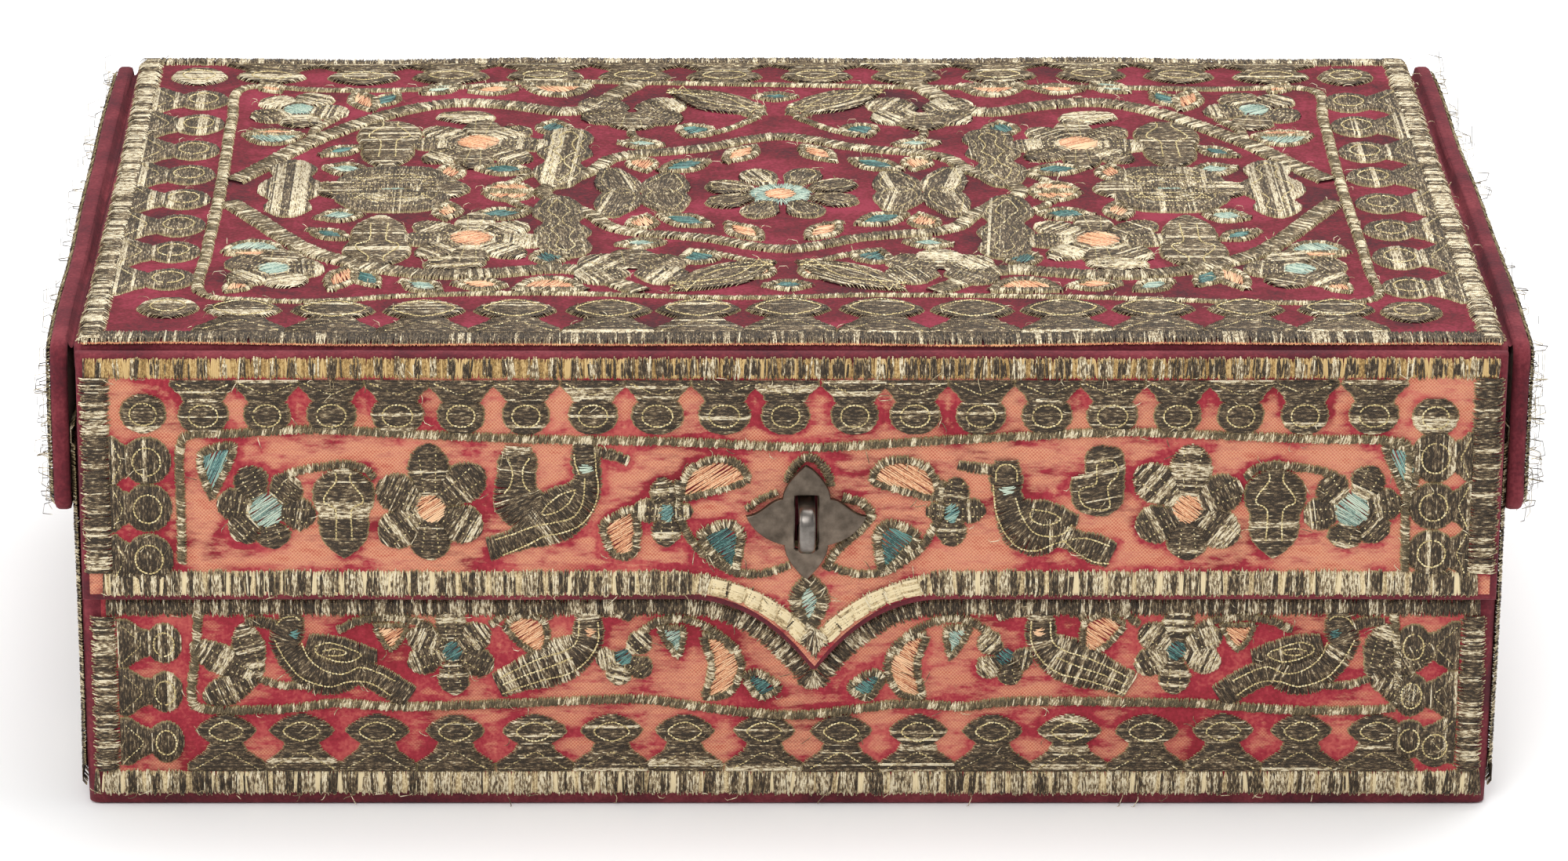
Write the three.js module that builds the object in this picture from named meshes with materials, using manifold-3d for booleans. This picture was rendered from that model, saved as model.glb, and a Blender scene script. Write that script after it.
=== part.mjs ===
// Embroidered velvet casket: a wooden case and a shallow lid, covered in velvet with raised thread panels.
// Stiff flaps hang from the lid's front and side edges on cloth hinges. The front one drops over a staple.
// Millimetres, +Z up, the front faces -Y, and the origin is the middle of the underside.
import * as THREE from 'three';
import { mergeVertices } from 'three/addons/utils/BufferGeometryUtils.js';
import Module from 'manifold-3d';

// Case, measured over its velvet
const caseWidth = 360.3;
const caseDepth = 233;
const rimHeight = 107;
const caseCornerRadius = 3;
const wallThickness = 7;
const baseBoardThickness = 6;
const undersideThickness = 0.9;
const hemHeight = 0.5;

// Cloth layers and the clearance between pieces that lie on each other
const velvetThickness = 1;
const liningThickness = 0.8;
const backingThickness = 0.5;
const reliefHeight = 0.7;
const seat = 0.25;

// Edge binding, the border row inside it and the cord that closes the row, on every embroidered panel
const bindingWidth = 7;
const borderWidth = 18;
const flapTopBorder = 11.6;
const sideFlapBorder = 9;
const cordWidth = 2.6;
const panelMargin = 1;
const panelCornerRadius = 1.5;
const leastRadiusShare = 0.25;

// Lid
const lidCornerRadius = 3;
const lidBoardThickness = 6;
const railHeight = 11.6;
const railThickness = 5;
const railInset = 5;
const lidSeat = 0.3;

// Flaps
const flapBoardThickness = 2.2;
const flapCornerRadius = 2;
const flapTopDrop = 0.4;
const swingClearance = 0.3;
const frontFlapEndGap = 0.9;
const frontFlapHeight = 66.6;
const sideFlapEndGap = 1;
const sideFlapHeight = 46;
const sideCornerRadius = 5;

// Point in the middle of the front flap's lower edge, which the panel under it follows
const pointShift = 6.4;
const pointHalfWidth = 33;
const pointDepth = 20;
const pointLean = 19;
const panelBelowFlap = 1.5;

// Panel on the case's front and on its other sides
const frontPanelBottom = 5;
const sidePanelTopGap = 2;
const backPanelDrop = 17;

// Central medallion on the lid
const medallionLength = 116;
const medallionWidth = 74;
const medallionBand = 4;
const rosetteRadius = 21;
const rosettePetals = 8;

// Cloth hinges
const hingeClothThickness = 0.6;
const flapHingeHeight = 10;
const backHingeHeight = 26;
const hingeEndGap = 5;

// Lock: escutcheon on the front flap, staple through its slot
const lockShift = 4;
const lockDrop = 44.5;
const escutcheonThickness = 1.2;
const escutcheonReach = 15.4;
const slotWidth = 5.8;
const slotHeight = 14.6;
const tabWidth = 2;
const tabThickness = 0.8;
const tabReach = 9.2;
const tabClearance = 0.3;
const stapleWidth = 4.3;
const stapleHeight = 12.8;
const stapleBar = 2.9;
const stapleReach = 8.8;
const clenchLength = 4;
const clenchThickness = 1.4;
const backPlateThickness = 1;
const backPlateWidth = 13;
const backPlateHeight = 30;
const legClearance = 0.3;

// Overrun of a cutting tool past the face it opens
const overrun = 2;

// Straight pieces that a curve is drawn with
const CORNER_STEPS = 3;
const CURVE_STEPS = 8;
const ARCH_STEPS = 12;
const LOBE_STEPS = 5;
const PETAL_STEPS = 5;

// Worked out from the sizes above
const embroideryThickness = backingThickness + reliefHeight;
const layer = velvetThickness + seat;
const wallBottom = undersideThickness + seat;
const wallTop = rimHeight - velvetThickness - seat;
const woodWidth = caseWidth - 2 * layer;
const woodDepth = caseDepth - 2 * layer;
const innerWidth = woodWidth - 2 * wallThickness;
const innerDepth = woodDepth - 2 * wallThickness;
const floorTop = wallBottom + baseBoardThickness;
const railBottom = rimHeight + lidSeat;
const railTop = railBottom + railHeight;
const boardBottom = railTop + seat;
const boardTop = boardBottom + lidBoardThickness;
const lidTop = boardTop + seat + velvetThickness;
const hingeGap = embroideryThickness + seat + swingClearance;
const flapCore = liningThickness + seat + flapBoardThickness + seat;
const flapBody = flapCore + velvetThickness;
const flapTop = lidTop - flapTopDrop;
const frontFlapWidth = caseWidth - 2 * frontFlapEndGap;
const sideFlapLength = caseDepth - 2 * sideFlapEndGap;
const flapBottom = flapTop - frontFlapHeight;
const sideFlapBottom = flapTop - sideFlapHeight;
const lockHeight = lidTop - lockDrop;
const flapInner = caseDepth / 2 + hingeGap;
const escutcheonInner = flapInner + flapBody + seat + embroideryThickness + seat;
const escutcheonOuter = escutcheonInner + escutcheonThickness;

const VELVET = { color: 0x8f1d3a, roughness: 0.95, metalness: 0 };
const WORN_VELVET = { color: 0xc8645c, roughness: 0.95, metalness: 0 };
const THREAD = { color: 0x8b8370, roughness: 0.5, metalness: 0.5 };
const WOOD = { color: 0x8a6440, roughness: 0.8, metalness: 0 };
const CARD = { color: 0xa98f68, roughness: 0.9, metalness: 0 };
const LINING = { color: 0x8c6a4f, roughness: 0.95, metalness: 0 };
const PEWTER = { color: 0x6b6862, roughness: 0.38, metalness: 0.9 };

const wasm = await Module();
wasm.setup();

// A closed geometry as a solid that can be joined and cut.
function solid(geometry) {
  const bare = geometry.index ? geometry.toNonIndexed() : geometry;
  bare.deleteAttribute('normal');
  bare.deleteAttribute('uv');
  const merged = mergeVertices(bare);
  return new wasm.Manifold(new wasm.Mesh({
    numProp: 3,
    vertProperties: merged.attributes.position.array,
    triVerts: new Uint32Array(merged.index.array),
  }));
}

// The geometry of a solid.
function geometryOf(body) {
  const mesh = body.getMesh();
  const geometry = new THREE.BufferGeometry();
  geometry.setAttribute('position', new THREE.BufferAttribute(mesh.vertProperties, mesh.numProp));
  geometry.setIndex(new THREE.BufferAttribute(mesh.triVerts, 1));
  geometry.computeVertexNormals();
  return geometry;
}

// A box between two corners.
function block(low, high) {
  const size = high.map((value, i) => value - low[i]);
  const geometry = new THREE.BoxGeometry(...size);
  geometry.translate(...low.map((value, i) => value + size[i] / 2));
  return solid(geometry);
}

// An outline in X and Z, given thickness towards -Y from the plane at distance `inner` from the origin.
function slab(outline, inner, thickness, holes = []) {
  const shape = new THREE.Shape(outline);
  shape.holes = holes.map((points) => new THREE.Path(points));
  const geometry = new THREE.ExtrudeGeometry(shape, { depth: thickness, bevelEnabled: false, steps: 1 });
  geometry.rotateX(Math.PI / 2);
  geometry.translate(0, -inner, 0);
  return solid(geometry);
}

// An outline in X and Y, given height from z = low.
function sheet(outline, low, thickness, holes = []) {
  const shape = new THREE.Shape(outline);
  shape.holes = holes.map((points) => new THREE.Path(points));
  const geometry = new THREE.ExtrudeGeometry(shape, { depth: thickness, bevelEnabled: false, steps: 1 });
  geometry.translate(0, 0, low);
  return solid(geometry);
}

// A quarter turn round a corner's centre.
function corner(centreX, centreY, radius, startAngle) {
  return Array.from({ length: CORNER_STEPS + 1 }, (_, i) => {
    const angle = startAngle + (i / CORNER_STEPS) * (Math.PI / 2);
    return new THREE.Vector2(centreX + radius * Math.cos(angle), centreY + radius * Math.sin(angle));
  });
}

// A rectangle with rounded corners, in from its sides by `inset`.
function roundedRectangle(left, right, bottom, top, radius, inset = 0) {
  const r = Math.max(radius - inset, radius * leastRadiusShare);
  const [x0, x1, y0, y1] = [left + inset + r, right - inset - r, bottom + inset + r, top - inset - r];
  return [
    ...corner(x0, y0, r, Math.PI),
    ...corner(x1, y0, r, -Math.PI / 2),
    ...corner(x1, y1, r, 0),
    ...corner(x0, y1, r, Math.PI / 2),
  ];
}

// The dip to the flap's point, from left to right: two curves that leave the straight edge level.
function pointCurve(edge, inset) {
  const slope = pointDepth / (pointHalfWidth - pointLean);
  const lift = inset * (Math.hypot(1, slope) - 1);
  const tip = new THREE.Vector2(pointShift, edge - pointDepth + lift);
  const flank = (side) => new THREE.QuadraticBezierCurve(
    new THREE.Vector2(pointShift + side * pointHalfWidth, edge),
    new THREE.Vector2(pointShift + side * (pointHalfWidth - pointLean), edge),
    tip,
  ).getPoints(CURVE_STEPS);
  return [...flank(-1), ...flank(1).reverse().slice(1)];
}

// The front flap's outline: straight sides, and a lower edge that dips to the point.
function flapOutline(inset) {
  const half = frontFlapWidth / 2 - inset;
  const r = Math.max(flapCornerRadius - inset, flapCornerRadius * leastRadiusShare);
  const low = flapBottom + inset;
  const high = flapTop - inset;
  return [
    ...corner(-half + r, low + r, r, Math.PI),
    ...pointCurve(low, inset),
    ...corner(half - r, low + r, r, -Math.PI / 2),
    ...corner(half - r, high - r, r, 0),
    ...corner(-half + r, high - r, r, Math.PI / 2),
  ];
}

// The front panel's outline: its upper edge follows the flap's lower edge.
function frontPanelOutline(inset) {
  const half = caseWidth / 2 - panelMargin - inset;
  const low = frontPanelBottom + inset;
  const high = flapBottom - panelBelowFlap - inset;
  return [
    new THREE.Vector2(-half, low),
    new THREE.Vector2(half, low),
    new THREE.Vector2(half, high),
    ...pointCurve(high, -inset).reverse(),
    new THREE.Vector2(-half, high),
  ];
}

// A raised band on a panel, between two insets of its outline.
function raisedRing(outline, make, start, inset, width) {
  return make(outline(inset), start + backingThickness, reliefHeight, [outline(inset + width).reverse()]);
}

// An embroidered panel: a thin backing with the raised edge binding and other raised bodies on it.
// `outline` gives the panel's edge at any inset, and `make` turns an outline into a slab or a sheet.
function embroideredPanel(outline, make, start, raised) {
  const backing = make(outline(0), start, backingThickness);
  const binding = raisedRing(outline, make, start, 0, bindingWidth);
  return [binding, ...raised].reduce((whole, part) => whole.add(part), backing);
}

// A raised cord round a panel, inside its border row.
function cordFrame(outline, make, start) {
  return raisedRing(outline, make, start, bindingWidth + borderWidth, cordWidth);
}

// A raised cord down both sides of a panel and across it, for a border row on three sides. `half` is to the
// cord's outer side, `open` the height where the sides end and `across` that of the cross run's far side.
function cordOnThreeSides(half, open, across, start) {
  const inward = Math.sign(open - across) * cordWidth;
  const runs = [
    [-half, -half + cordWidth, open, across],
    [half - cordWidth, half, open, across],
    [-half, half, across + inward, across],
  ];
  return runs.map(([x0, x1, z0, z1]) => block(
    [x0, -start - backingThickness - reliefHeight, Math.min(z0, z1)],
    [x1, -start - backingThickness, Math.max(z0, z1)],
  ));
}

function piece(name, body, look) {
  const mesh = new THREE.Mesh(geometryOf(body), new THREE.MeshStandardMaterial(look));
  mesh.name = name;
  return mesh;
}

// A cutter that runs through the front, at the lock, wider than a leg or a tab by its clearance.
function lockCutter(x0, x1, z0, z1, from, to) {
  return block(
    [lockShift + x0, -to, lockHeight + z0],
    [lockShift + x1, -from, lockHeight + z1],
  );
}

// Upper and lower leg of the staple, or holes for them when `clearance` isn't zero.
function stapleLegCutters(from, to, clearance) {
  const half = stapleWidth / 2 + clearance;
  const outer = stapleHeight / 2;
  return [1, -1].map((side) => {
    const [low, high] = [side * outer, side * (outer - stapleBar)].sort((a, b) => a - b);
    return lockCutter(-half, half, low - clearance, high + clearance, from, to);
  });
}

// Two bent tabs hold the escutcheon; these are their places, as blocks from one depth to another.
function tabBlocks(from, to, clearance) {
  return [1, -1].map((side) => lockCutter(
    side * tabReach - tabThickness / 2 - clearance,
    side * tabReach + tabThickness / 2 + clearance,
    -tabWidth / 2 - clearance,
    tabWidth / 2 + clearance,
    from,
    to,
  ));
}

function cut(body, tools) {
  return tools.reduce((whole, tool) => whole.subtract(tool), body);
}

function slotCutter() {
  const [halfWidth, halfHeight] = [slotWidth / 2, slotHeight / 2];
  return lockCutter(
    -halfWidth, halfWidth, -halfHeight, halfHeight, flapInner - overrun, escutcheonOuter + overrun,
  );
}

// Case
function undersideCover() {
  return block([-woodWidth / 2, -woodDepth / 2, 0], [woodWidth / 2, woodDepth / 2, undersideThickness]);
}

function baseBoard() {
  return block(
    [-innerWidth / 2 + seat, -innerDepth / 2 + seat, wallBottom],
    [innerWidth / 2 - seat, innerDepth / 2 - seat, floorTop],
  );
}

// A wall on the side that faces -Y in its own group, `length` long, at `outer` from the middle.
function wall(length, outer) {
  return block([-length / 2, -outer, wallBottom], [length / 2, -outer + wallThickness, wallTop]);
}

function caseVelvet() {
  const outline = roundedRectangle(
    -caseWidth / 2, caseWidth / 2, -caseDepth / 2, caseDepth / 2, caseCornerRadius,
  );
  const skin = sheet(outline, hemHeight, rimHeight - hemHeight);
  const pocket = block(
    [velvetThickness - caseWidth / 2, velvetThickness - caseDepth / 2, hemHeight - overrun],
    [caseWidth / 2 - velvetThickness, caseDepth / 2 - velvetThickness, rimHeight - velvetThickness],
  );
  const mouth = block(
    [-innerWidth / 2, -innerDepth / 2, wallTop],
    [innerWidth / 2, innerDepth / 2, rimHeight + overrun],
  );
  const holes = stapleLegCutters(caseDepth / 2 - overrun, caseDepth / 2 + overrun, legClearance);
  return cut(skin, [pocket, mouth, ...holes]);
}

function floorLining() {
  const halfX = innerWidth / 2 - seat;
  const halfY = innerDepth / 2 - seat;
  return block([-halfX, -halfY, floorTop + seat], [halfX, halfY, floorTop + seat + liningThickness]);
}

// A wall's lining, standing on the floor lining.
function wallLining(length, innerFace) {
  const low = floorTop + 2 * seat + liningThickness;
  const outer = innerFace - seat;
  return block([-length / 2, -outer, low], [length / 2, -outer + liningThickness, wallTop]);
}

function frontPanel() {
  const start = caseDepth / 2 + seat;
  const half = caseWidth / 2 - panelMargin - bindingWidth - borderWidth;
  const open = flapBottom - panelBelowFlap - bindingWidth;
  const across = frontPanelBottom + bindingWidth + borderWidth;
  return embroideredPanel(frontPanelOutline, slab, start, cordOnThreeSides(half, open, across, start));
}

// A plain panel on a side of the case, `length` long and up to `top`, at `face` from the middle.
function wallPanel(length, top, face) {
  const outline = (inset) => roundedRectangle(
    -length / 2, length / 2, frontPanelBottom, top, panelCornerRadius, inset,
  );
  const start = face + seat;
  return embroideredPanel(outline, slab, start, [cordFrame(outline, slab, start)]);
}

// The staple: an arch in a vertical plane whose legs run through the front wall and are clenched inside.
function staple() {
  const plateFace = innerDepth / 2 - seat - liningThickness - seat - backPlateThickness;
  const clenchFace = plateFace - seat;
  const nose = escutcheonOuter + stapleReach;
  const radius = stapleHeight / 2;
  const inner = radius - stapleBar;
  const arch = (r) => Array.from({ length: ARCH_STEPS + 1 }, (_, i) => {
    const angle = -Math.PI / 2 + (i / ARCH_STEPS) * Math.PI;
    return new THREE.Vector2(nose - radius + r * Math.cos(angle), r * Math.sin(angle));
  });
  const outline = [
    new THREE.Vector2(clenchFace, -radius),
    ...arch(radius),
    new THREE.Vector2(clenchFace, radius),
    new THREE.Vector2(clenchFace, radius + clenchLength),
    new THREE.Vector2(clenchFace - clenchThickness, radius + clenchLength),
    new THREE.Vector2(clenchFace - clenchThickness, inner),
    ...arch(inner).reverse(),
    new THREE.Vector2(clenchFace - clenchThickness, -inner),
    new THREE.Vector2(clenchFace - clenchThickness, -radius - clenchLength),
    new THREE.Vector2(clenchFace, -radius - clenchLength),
  ];
  const geometry = new THREE.ExtrudeGeometry(new THREE.Shape(outline), {
    depth: stapleWidth,
    bevelEnabled: false,
    steps: 1,
  });
  geometry.translate(0, 0, -stapleWidth / 2);
  // The outline's first direction is the distance to the front, its second is up.
  geometry.applyMatrix4(new THREE.Matrix4().makeBasis(
    new THREE.Vector3(0, -1, 0), new THREE.Vector3(0, 0, 1), new THREE.Vector3(-1, 0, 0),
  ));
  geometry.translate(lockShift, 0, lockHeight);
  return solid(geometry);
}

function stapleBackPlate() {
  const inner = innerDepth / 2 - seat - liningThickness - seat - backPlateThickness;
  const plate = block(
    [lockShift - backPlateWidth / 2, -inner - backPlateThickness, lockHeight - backPlateHeight / 2],
    [lockShift + backPlateWidth / 2, -inner, lockHeight + backPlateHeight / 2],
  );
  return cut(plate, stapleLegCutters(inner - overrun, inner + backPlateThickness + overrun, legClearance));
}

// Lid
function lidOutline(inset) {
  return roundedRectangle(
    -caseWidth / 2, caseWidth / 2, -caseDepth / 2, caseDepth / 2, lidCornerRadius, inset,
  );
}

function lidVelvet() {
  const skin = sheet(lidOutline(0), boardBottom, lidTop - boardBottom);
  const pocketHeight = lidBoardThickness + seat + overrun;
  const pocket = sheet(lidOutline(velvetThickness), boardBottom - overrun, pocketHeight);
  return skin.subtract(pocket);
}

function lidBoard() {
  return sheet(lidOutline(layer), boardBottom, lidBoardThickness);
}

function lidRail(length, outer) {
  return block([-length / 2, -outer, railBottom], [length / 2, -outer + railThickness, railTop]);
}

function lidLining(railFrontFace, railBackFace, halfWidth) {
  return block(
    [-halfWidth, -railFrontFace, boardBottom - seat - liningThickness],
    [halfWidth, railBackFace, boardBottom - seat],
  );
}

// The medallion's outline: an almond with a point at each end, drawn by four curves.
function medallionOutline(inset) {
  const length = medallionLength / 2 - 2 * inset;
  const width = medallionWidth / 2 - inset;
  const curve = (fromX, fromY, toX, toY, bendX, bendY) => new THREE.QuadraticBezierCurve(
    new THREE.Vector2(fromX, fromY), new THREE.Vector2(bendX, bendY), new THREE.Vector2(toX, toY),
  ).getPoints(CURVE_STEPS).slice(0, -1);
  const bendShare = 0.45;
  return [
    ...curve(length, 0, 0, width, length * bendShare, width),
    ...curve(0, width, -length, 0, -length * bendShare, width),
    ...curve(-length, 0, 0, -width, -length * bendShare, -width),
    ...curve(0, -width, length, 0, length * bendShare, -width),
  ];
}

// The medallion's flower: a disc with a scalloped edge.
function rosetteOutline() {
  const dipShare = 0.16;
  const count = rosettePetals * PETAL_STEPS;
  return Array.from({ length: count }, (_, i) => {
    const angle = (i / count) * 2 * Math.PI;
    const dip = dipShare * Math.abs(Math.cos((angle * rosettePetals) / 2));
    const radius = rosetteRadius * (1 - dip);
    return new THREE.Vector2(radius * Math.cos(angle), radius * Math.sin(angle));
  });
}

function lidPanel() {
  const halfX = caseWidth / 2 - panelMargin;
  const halfY = caseDepth / 2 - panelMargin;
  const outline = (inset) => roundedRectangle(-halfX, halfX, -halfY, halfY, panelCornerRadius, inset);
  const start = lidTop + seat;
  const reliefStart = start + backingThickness;
  const inside = medallionOutline(medallionBand).reverse();
  const frame = sheet(medallionOutline(0), reliefStart, reliefHeight, [inside]);
  const rosette = sheet(rosetteOutline(), reliefStart, reliefHeight);
  return embroideredPanel(outline, sheet, start, [cordFrame(outline, sheet, start), frame, rosette]);
}

// Flaps. A flap is a card with lining on its inside and velvet wrapped over its outside and edges.
function flapVelvet(outline, inner) {
  const skin = slab(outline(0), inner, flapBody);
  return skin.subtract(slab(outline(velvetThickness), inner - overrun, flapCore + overrun));
}

function flapLining(outline, inner) {
  return slab(outline(layer), inner, liningThickness);
}

function flapBoard(outline, inner) {
  return slab(outline(layer), inner + liningThickness + seat, flapBoardThickness);
}

function frontFlapPanel() {
  const start = flapInner + flapBody + seat;
  const half = frontFlapWidth / 2 - panelMargin - bindingWidth - borderWidth;
  const open = flapBottom + panelMargin + bindingWidth;
  const across = flapTop - panelMargin - bindingWidth - flapTopBorder;
  const cords = cordOnThreeSides(half, open, across, start);
  return embroideredPanel((inset) => flapOutline(panelMargin + inset), slab, start, cords);
}

function sideFlapPanel(outline, inner) {
  const start = inner + flapBody + seat;
  const panelEdge = (inset) => outline(panelMargin + inset);
  const cord = raisedRing(panelEdge, slab, start, bindingWidth + sideFlapBorder, cordWidth);
  return embroideredPanel(panelEdge, slab, start, [cord]);
}

// The cloth in the crease between the lid's edge and a flap.
function flapHinge(length, lidEdge) {
  const outer = lidEdge + (hingeGap + hingeClothThickness) / 2;
  return block(
    [-length / 2 + hingeEndGap, -outer, flapTop - flapHingeHeight],
    [length / 2 - hingeEndGap, -outer + hingeClothThickness, flapTop],
  );
}

// The cloth glued over the joint at the back, half on the case and half on the lid.
function backHinge() {
  const middle = rimHeight + lidSeat / 2;
  const face = caseDepth / 2 + seat;
  return block(
    [-caseWidth / 2 + hingeEndGap, face, middle - backHingeHeight / 2],
    [caseWidth / 2 - hingeEndGap, face + hingeClothThickness, middle + backHingeHeight / 2],
  );
}

// Flanks of the escutcheon's pointed lobes, each from the notch beside it over two bends to its tip, as
// shares of the escutcheon's reach. The side lobes' tips are a little above its middle.
const topFlankShares = [[0.39, 0.42], [0.39, 0.62], [0.22, 0.82], [0.02, 1]];
const upperSideFlankShares = [[0.39, 0.42], [0.62, 0.4], [0.71, 0.14], [0.99, 0.11]];
const lowerSideFlankShares = [[0.36, -0.4], [0.62, -0.35], [0.88, -0.17], [0.99, 0.11]];
const bottomFlankShares = [[0.36, -0.4], [0.36, -0.62], [0.16, -0.86], [-0.02, -1]];
const tipLeanShare = 0.05;

function escutcheonOutline() {
  // A lobe's tip leans a little to one side, so only the points before it are mirrored.
  const flank = (side, shares) => new THREE.CubicBezierCurve(
    ...shares.map(([x, y]) => new THREE.Vector2(
      lockShift + (Math.abs(x) < tipLeanShare ? x : side * x) * escutcheonReach,
      lockHeight + y * escutcheonReach,
    )),
  ).getPoints(LOBE_STEPS);
  const open = (points) => points.slice(0, -1);
  return [
    ...open(flank(1, upperSideFlankShares).reverse()),
    ...open(flank(1, topFlankShares)),
    ...open(flank(-1, topFlankShares).reverse()),
    ...open(flank(-1, upperSideFlankShares)),
    ...open(flank(-1, lowerSideFlankShares).reverse()),
    ...open(flank(-1, bottomFlankShares)),
    ...open(flank(1, bottomFlankShares).reverse()),
    ...open(flank(1, lowerSideFlankShares)),
  ];
}

function escutcheon() {
  const plate = slab(escutcheonOutline(), escutcheonInner, escutcheonThickness);
  const tabEnd = flapInner + liningThickness + seat;
  const tabs = tabBlocks(tabEnd, escutcheonInner + escutcheonThickness / 2, 0);
  return tabs.reduce((whole, tab) => whole.add(tab), plate).subtract(slotCutter());
}

// Slot and tab holes, through every layer of the front flap.
function pierced(body) {
  const tabHoles = tabBlocks(flapInner - overrun, escutcheonInner + overrun, tabClearance);
  return cut(body, [slotCutter(), ...tabHoles]);
}

// A group turned so that what faces -Y in it faces the given side.
function facing(quarterTurns) {
  const group = new THREE.Group();
  group.rotation.z = (quarterTurns * Math.PI) / 2;
  return group;
}

const front = facing(0);
const right = facing(1);
const back = facing(2);
const left = facing(3);

const sideWallLength = innerDepth - 2 * seat;
const sideWallOuter = woodWidth / 2;
const endWallHoles = stapleLegCutters(innerDepth / 2 - overrun, caseDepth / 2 + overrun, legClearance);
const sidePanelLength = caseDepth - 2 * panelMargin;
const sidePanelTop = rimHeight - sidePanelTopGap;
const backPanelLength = caseWidth - 2 * panelMargin;
const backPanelTop = rimHeight - backPanelDrop;
const sideLiningLength = innerDepth - 4 * seat - 2 * liningThickness;
const endLiningLength = innerWidth - 2 * seat;
const railWidth = caseWidth - 2 * railInset;
const frontRailOuter = caseDepth / 2 - railInset;
const backRailOuter = woodDepth / 2;
const sideRailLength = frontRailOuter + backRailOuter - 2 * railThickness - 2 * seat;
const sideRailShift = (backRailOuter - frontRailOuter) / 2;

const middle = new THREE.Group();
middle.add(
  piece('underside_cover', undersideCover(), LINING),
  piece('base_board', baseBoard(), WOOD),
  piece('case_velvet', caseVelvet(), VELVET),
  piece('floor_lining', floorLining(), LINING),
  piece('staple', staple(), PEWTER),
  piece('staple_back_plate', stapleBackPlate(), PEWTER),
  piece('lid_board', lidBoard(), WOOD),
  piece('lid_velvet', lidVelvet(), VELVET),
  piece('lid_embroidery', lidPanel(), THREAD),
  piece(
    'lid_lining',
    lidLining(
      frontRailOuter - railThickness - seat,
      backRailOuter - railThickness - seat,
      railWidth / 2 - railThickness - seat,
    ),
    LINING,
  ),
  piece('back_hinge_cloth', backHinge(), VELVET),
);

front.add(
  piece('front_wall', cut(wall(woodWidth, woodDepth / 2), endWallHoles), WOOD),
  piece('front_lining', cut(wallLining(endLiningLength, innerDepth / 2), endWallHoles), LINING),
  piece('front_embroidery', frontPanel(), THREAD),
  piece('lid_front_rail', lidRail(railWidth, frontRailOuter), WOOD),
  piece('front_flap_board', pierced(flapBoard(flapOutline, flapInner)), CARD),
  piece('front_flap_velvet', pierced(flapVelvet(flapOutline, flapInner)), WORN_VELVET),
  piece('front_flap_lining', pierced(flapLining(flapOutline, flapInner)), LINING),
  piece('front_flap_embroidery', pierced(frontFlapPanel()), THREAD),
  piece('front_hinge_cloth', flapHinge(frontFlapWidth, caseDepth / 2), VELVET),
  piece('escutcheon', escutcheon(), PEWTER),
);

back.add(
  piece('back_wall', wall(woodWidth, woodDepth / 2), WOOD),
  piece('back_lining', wallLining(endLiningLength, innerDepth / 2), LINING),
  piece('back_embroidery', wallPanel(backPanelLength, backPanelTop, caseDepth / 2), THREAD),
  piece('lid_back_rail', lidRail(railWidth, backRailOuter), WOOD),
);

const sideOutline = (inset) => roundedRectangle(
  -sideFlapLength / 2, sideFlapLength / 2, sideFlapBottom, flapTop, sideCornerRadius, inset,
);
const sideFlapInner = caseWidth / 2 + hingeGap;
for (const [side, group, turn] of [['left', left, 1], ['right', right, -1]]) {
  const rail = piece(`lid_${side}_rail`, lidRail(sideRailLength, railWidth / 2), WOOD);
  rail.position.x = -turn * sideRailShift;
  group.add(
    piece(`${side}_wall`, wall(sideWallLength, sideWallOuter), WOOD),
    piece(`${side}_lining`, wallLining(sideLiningLength, innerWidth / 2), LINING),
    piece(`${side}_embroidery`, wallPanel(sidePanelLength, sidePanelTop, caseWidth / 2), THREAD),
    rail,
    piece(`${side}_flap_board`, flapBoard(sideOutline, sideFlapInner), CARD),
    piece(`${side}_flap_velvet`, flapVelvet(sideOutline, sideFlapInner), VELVET),
    piece(`${side}_flap_lining`, flapLining(sideOutline, sideFlapInner), LINING),
    piece(`${side}_flap_embroidery`, sideFlapPanel(sideOutline, sideFlapInner), THREAD),
    piece(`${side}_hinge_cloth`, flapHinge(sideFlapLength, caseWidth / 2), VELVET),
  );
}

const casket = new THREE.Group();
casket.add(middle, front, right, back, left);

export default casket;
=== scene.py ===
"""Embroidered velvet casket: thread, velvet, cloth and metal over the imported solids.

Thread is laid stitch by stitch, on flat sides measured in millimetres. Each side has its own origin, so
that the place and the size of each motif can be written down as they are on that side.
"""
import logging
import math
import random
from dataclasses import dataclass, replace
from enum import Enum

import bmesh
import bpy
import numpy as np
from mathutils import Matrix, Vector, kdtree


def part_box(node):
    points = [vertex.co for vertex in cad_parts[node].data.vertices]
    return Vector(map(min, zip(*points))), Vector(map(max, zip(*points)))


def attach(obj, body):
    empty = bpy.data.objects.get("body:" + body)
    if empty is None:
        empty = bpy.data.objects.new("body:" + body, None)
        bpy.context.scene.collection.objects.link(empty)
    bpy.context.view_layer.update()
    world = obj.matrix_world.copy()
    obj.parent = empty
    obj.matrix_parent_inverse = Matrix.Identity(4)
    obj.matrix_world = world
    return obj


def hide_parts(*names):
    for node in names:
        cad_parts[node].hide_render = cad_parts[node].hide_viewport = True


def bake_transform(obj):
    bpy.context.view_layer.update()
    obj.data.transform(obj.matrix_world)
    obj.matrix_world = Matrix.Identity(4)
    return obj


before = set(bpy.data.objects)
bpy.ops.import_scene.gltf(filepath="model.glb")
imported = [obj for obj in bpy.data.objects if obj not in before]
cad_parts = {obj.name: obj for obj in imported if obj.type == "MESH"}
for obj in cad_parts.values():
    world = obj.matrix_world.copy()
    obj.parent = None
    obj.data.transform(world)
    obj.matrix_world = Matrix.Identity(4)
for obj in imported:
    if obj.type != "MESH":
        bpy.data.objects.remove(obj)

MM = 0.001
CASKET = logging.getLogger("casket")
Point = tuple[float, float]
Spot = tuple[float, float, float]


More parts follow.
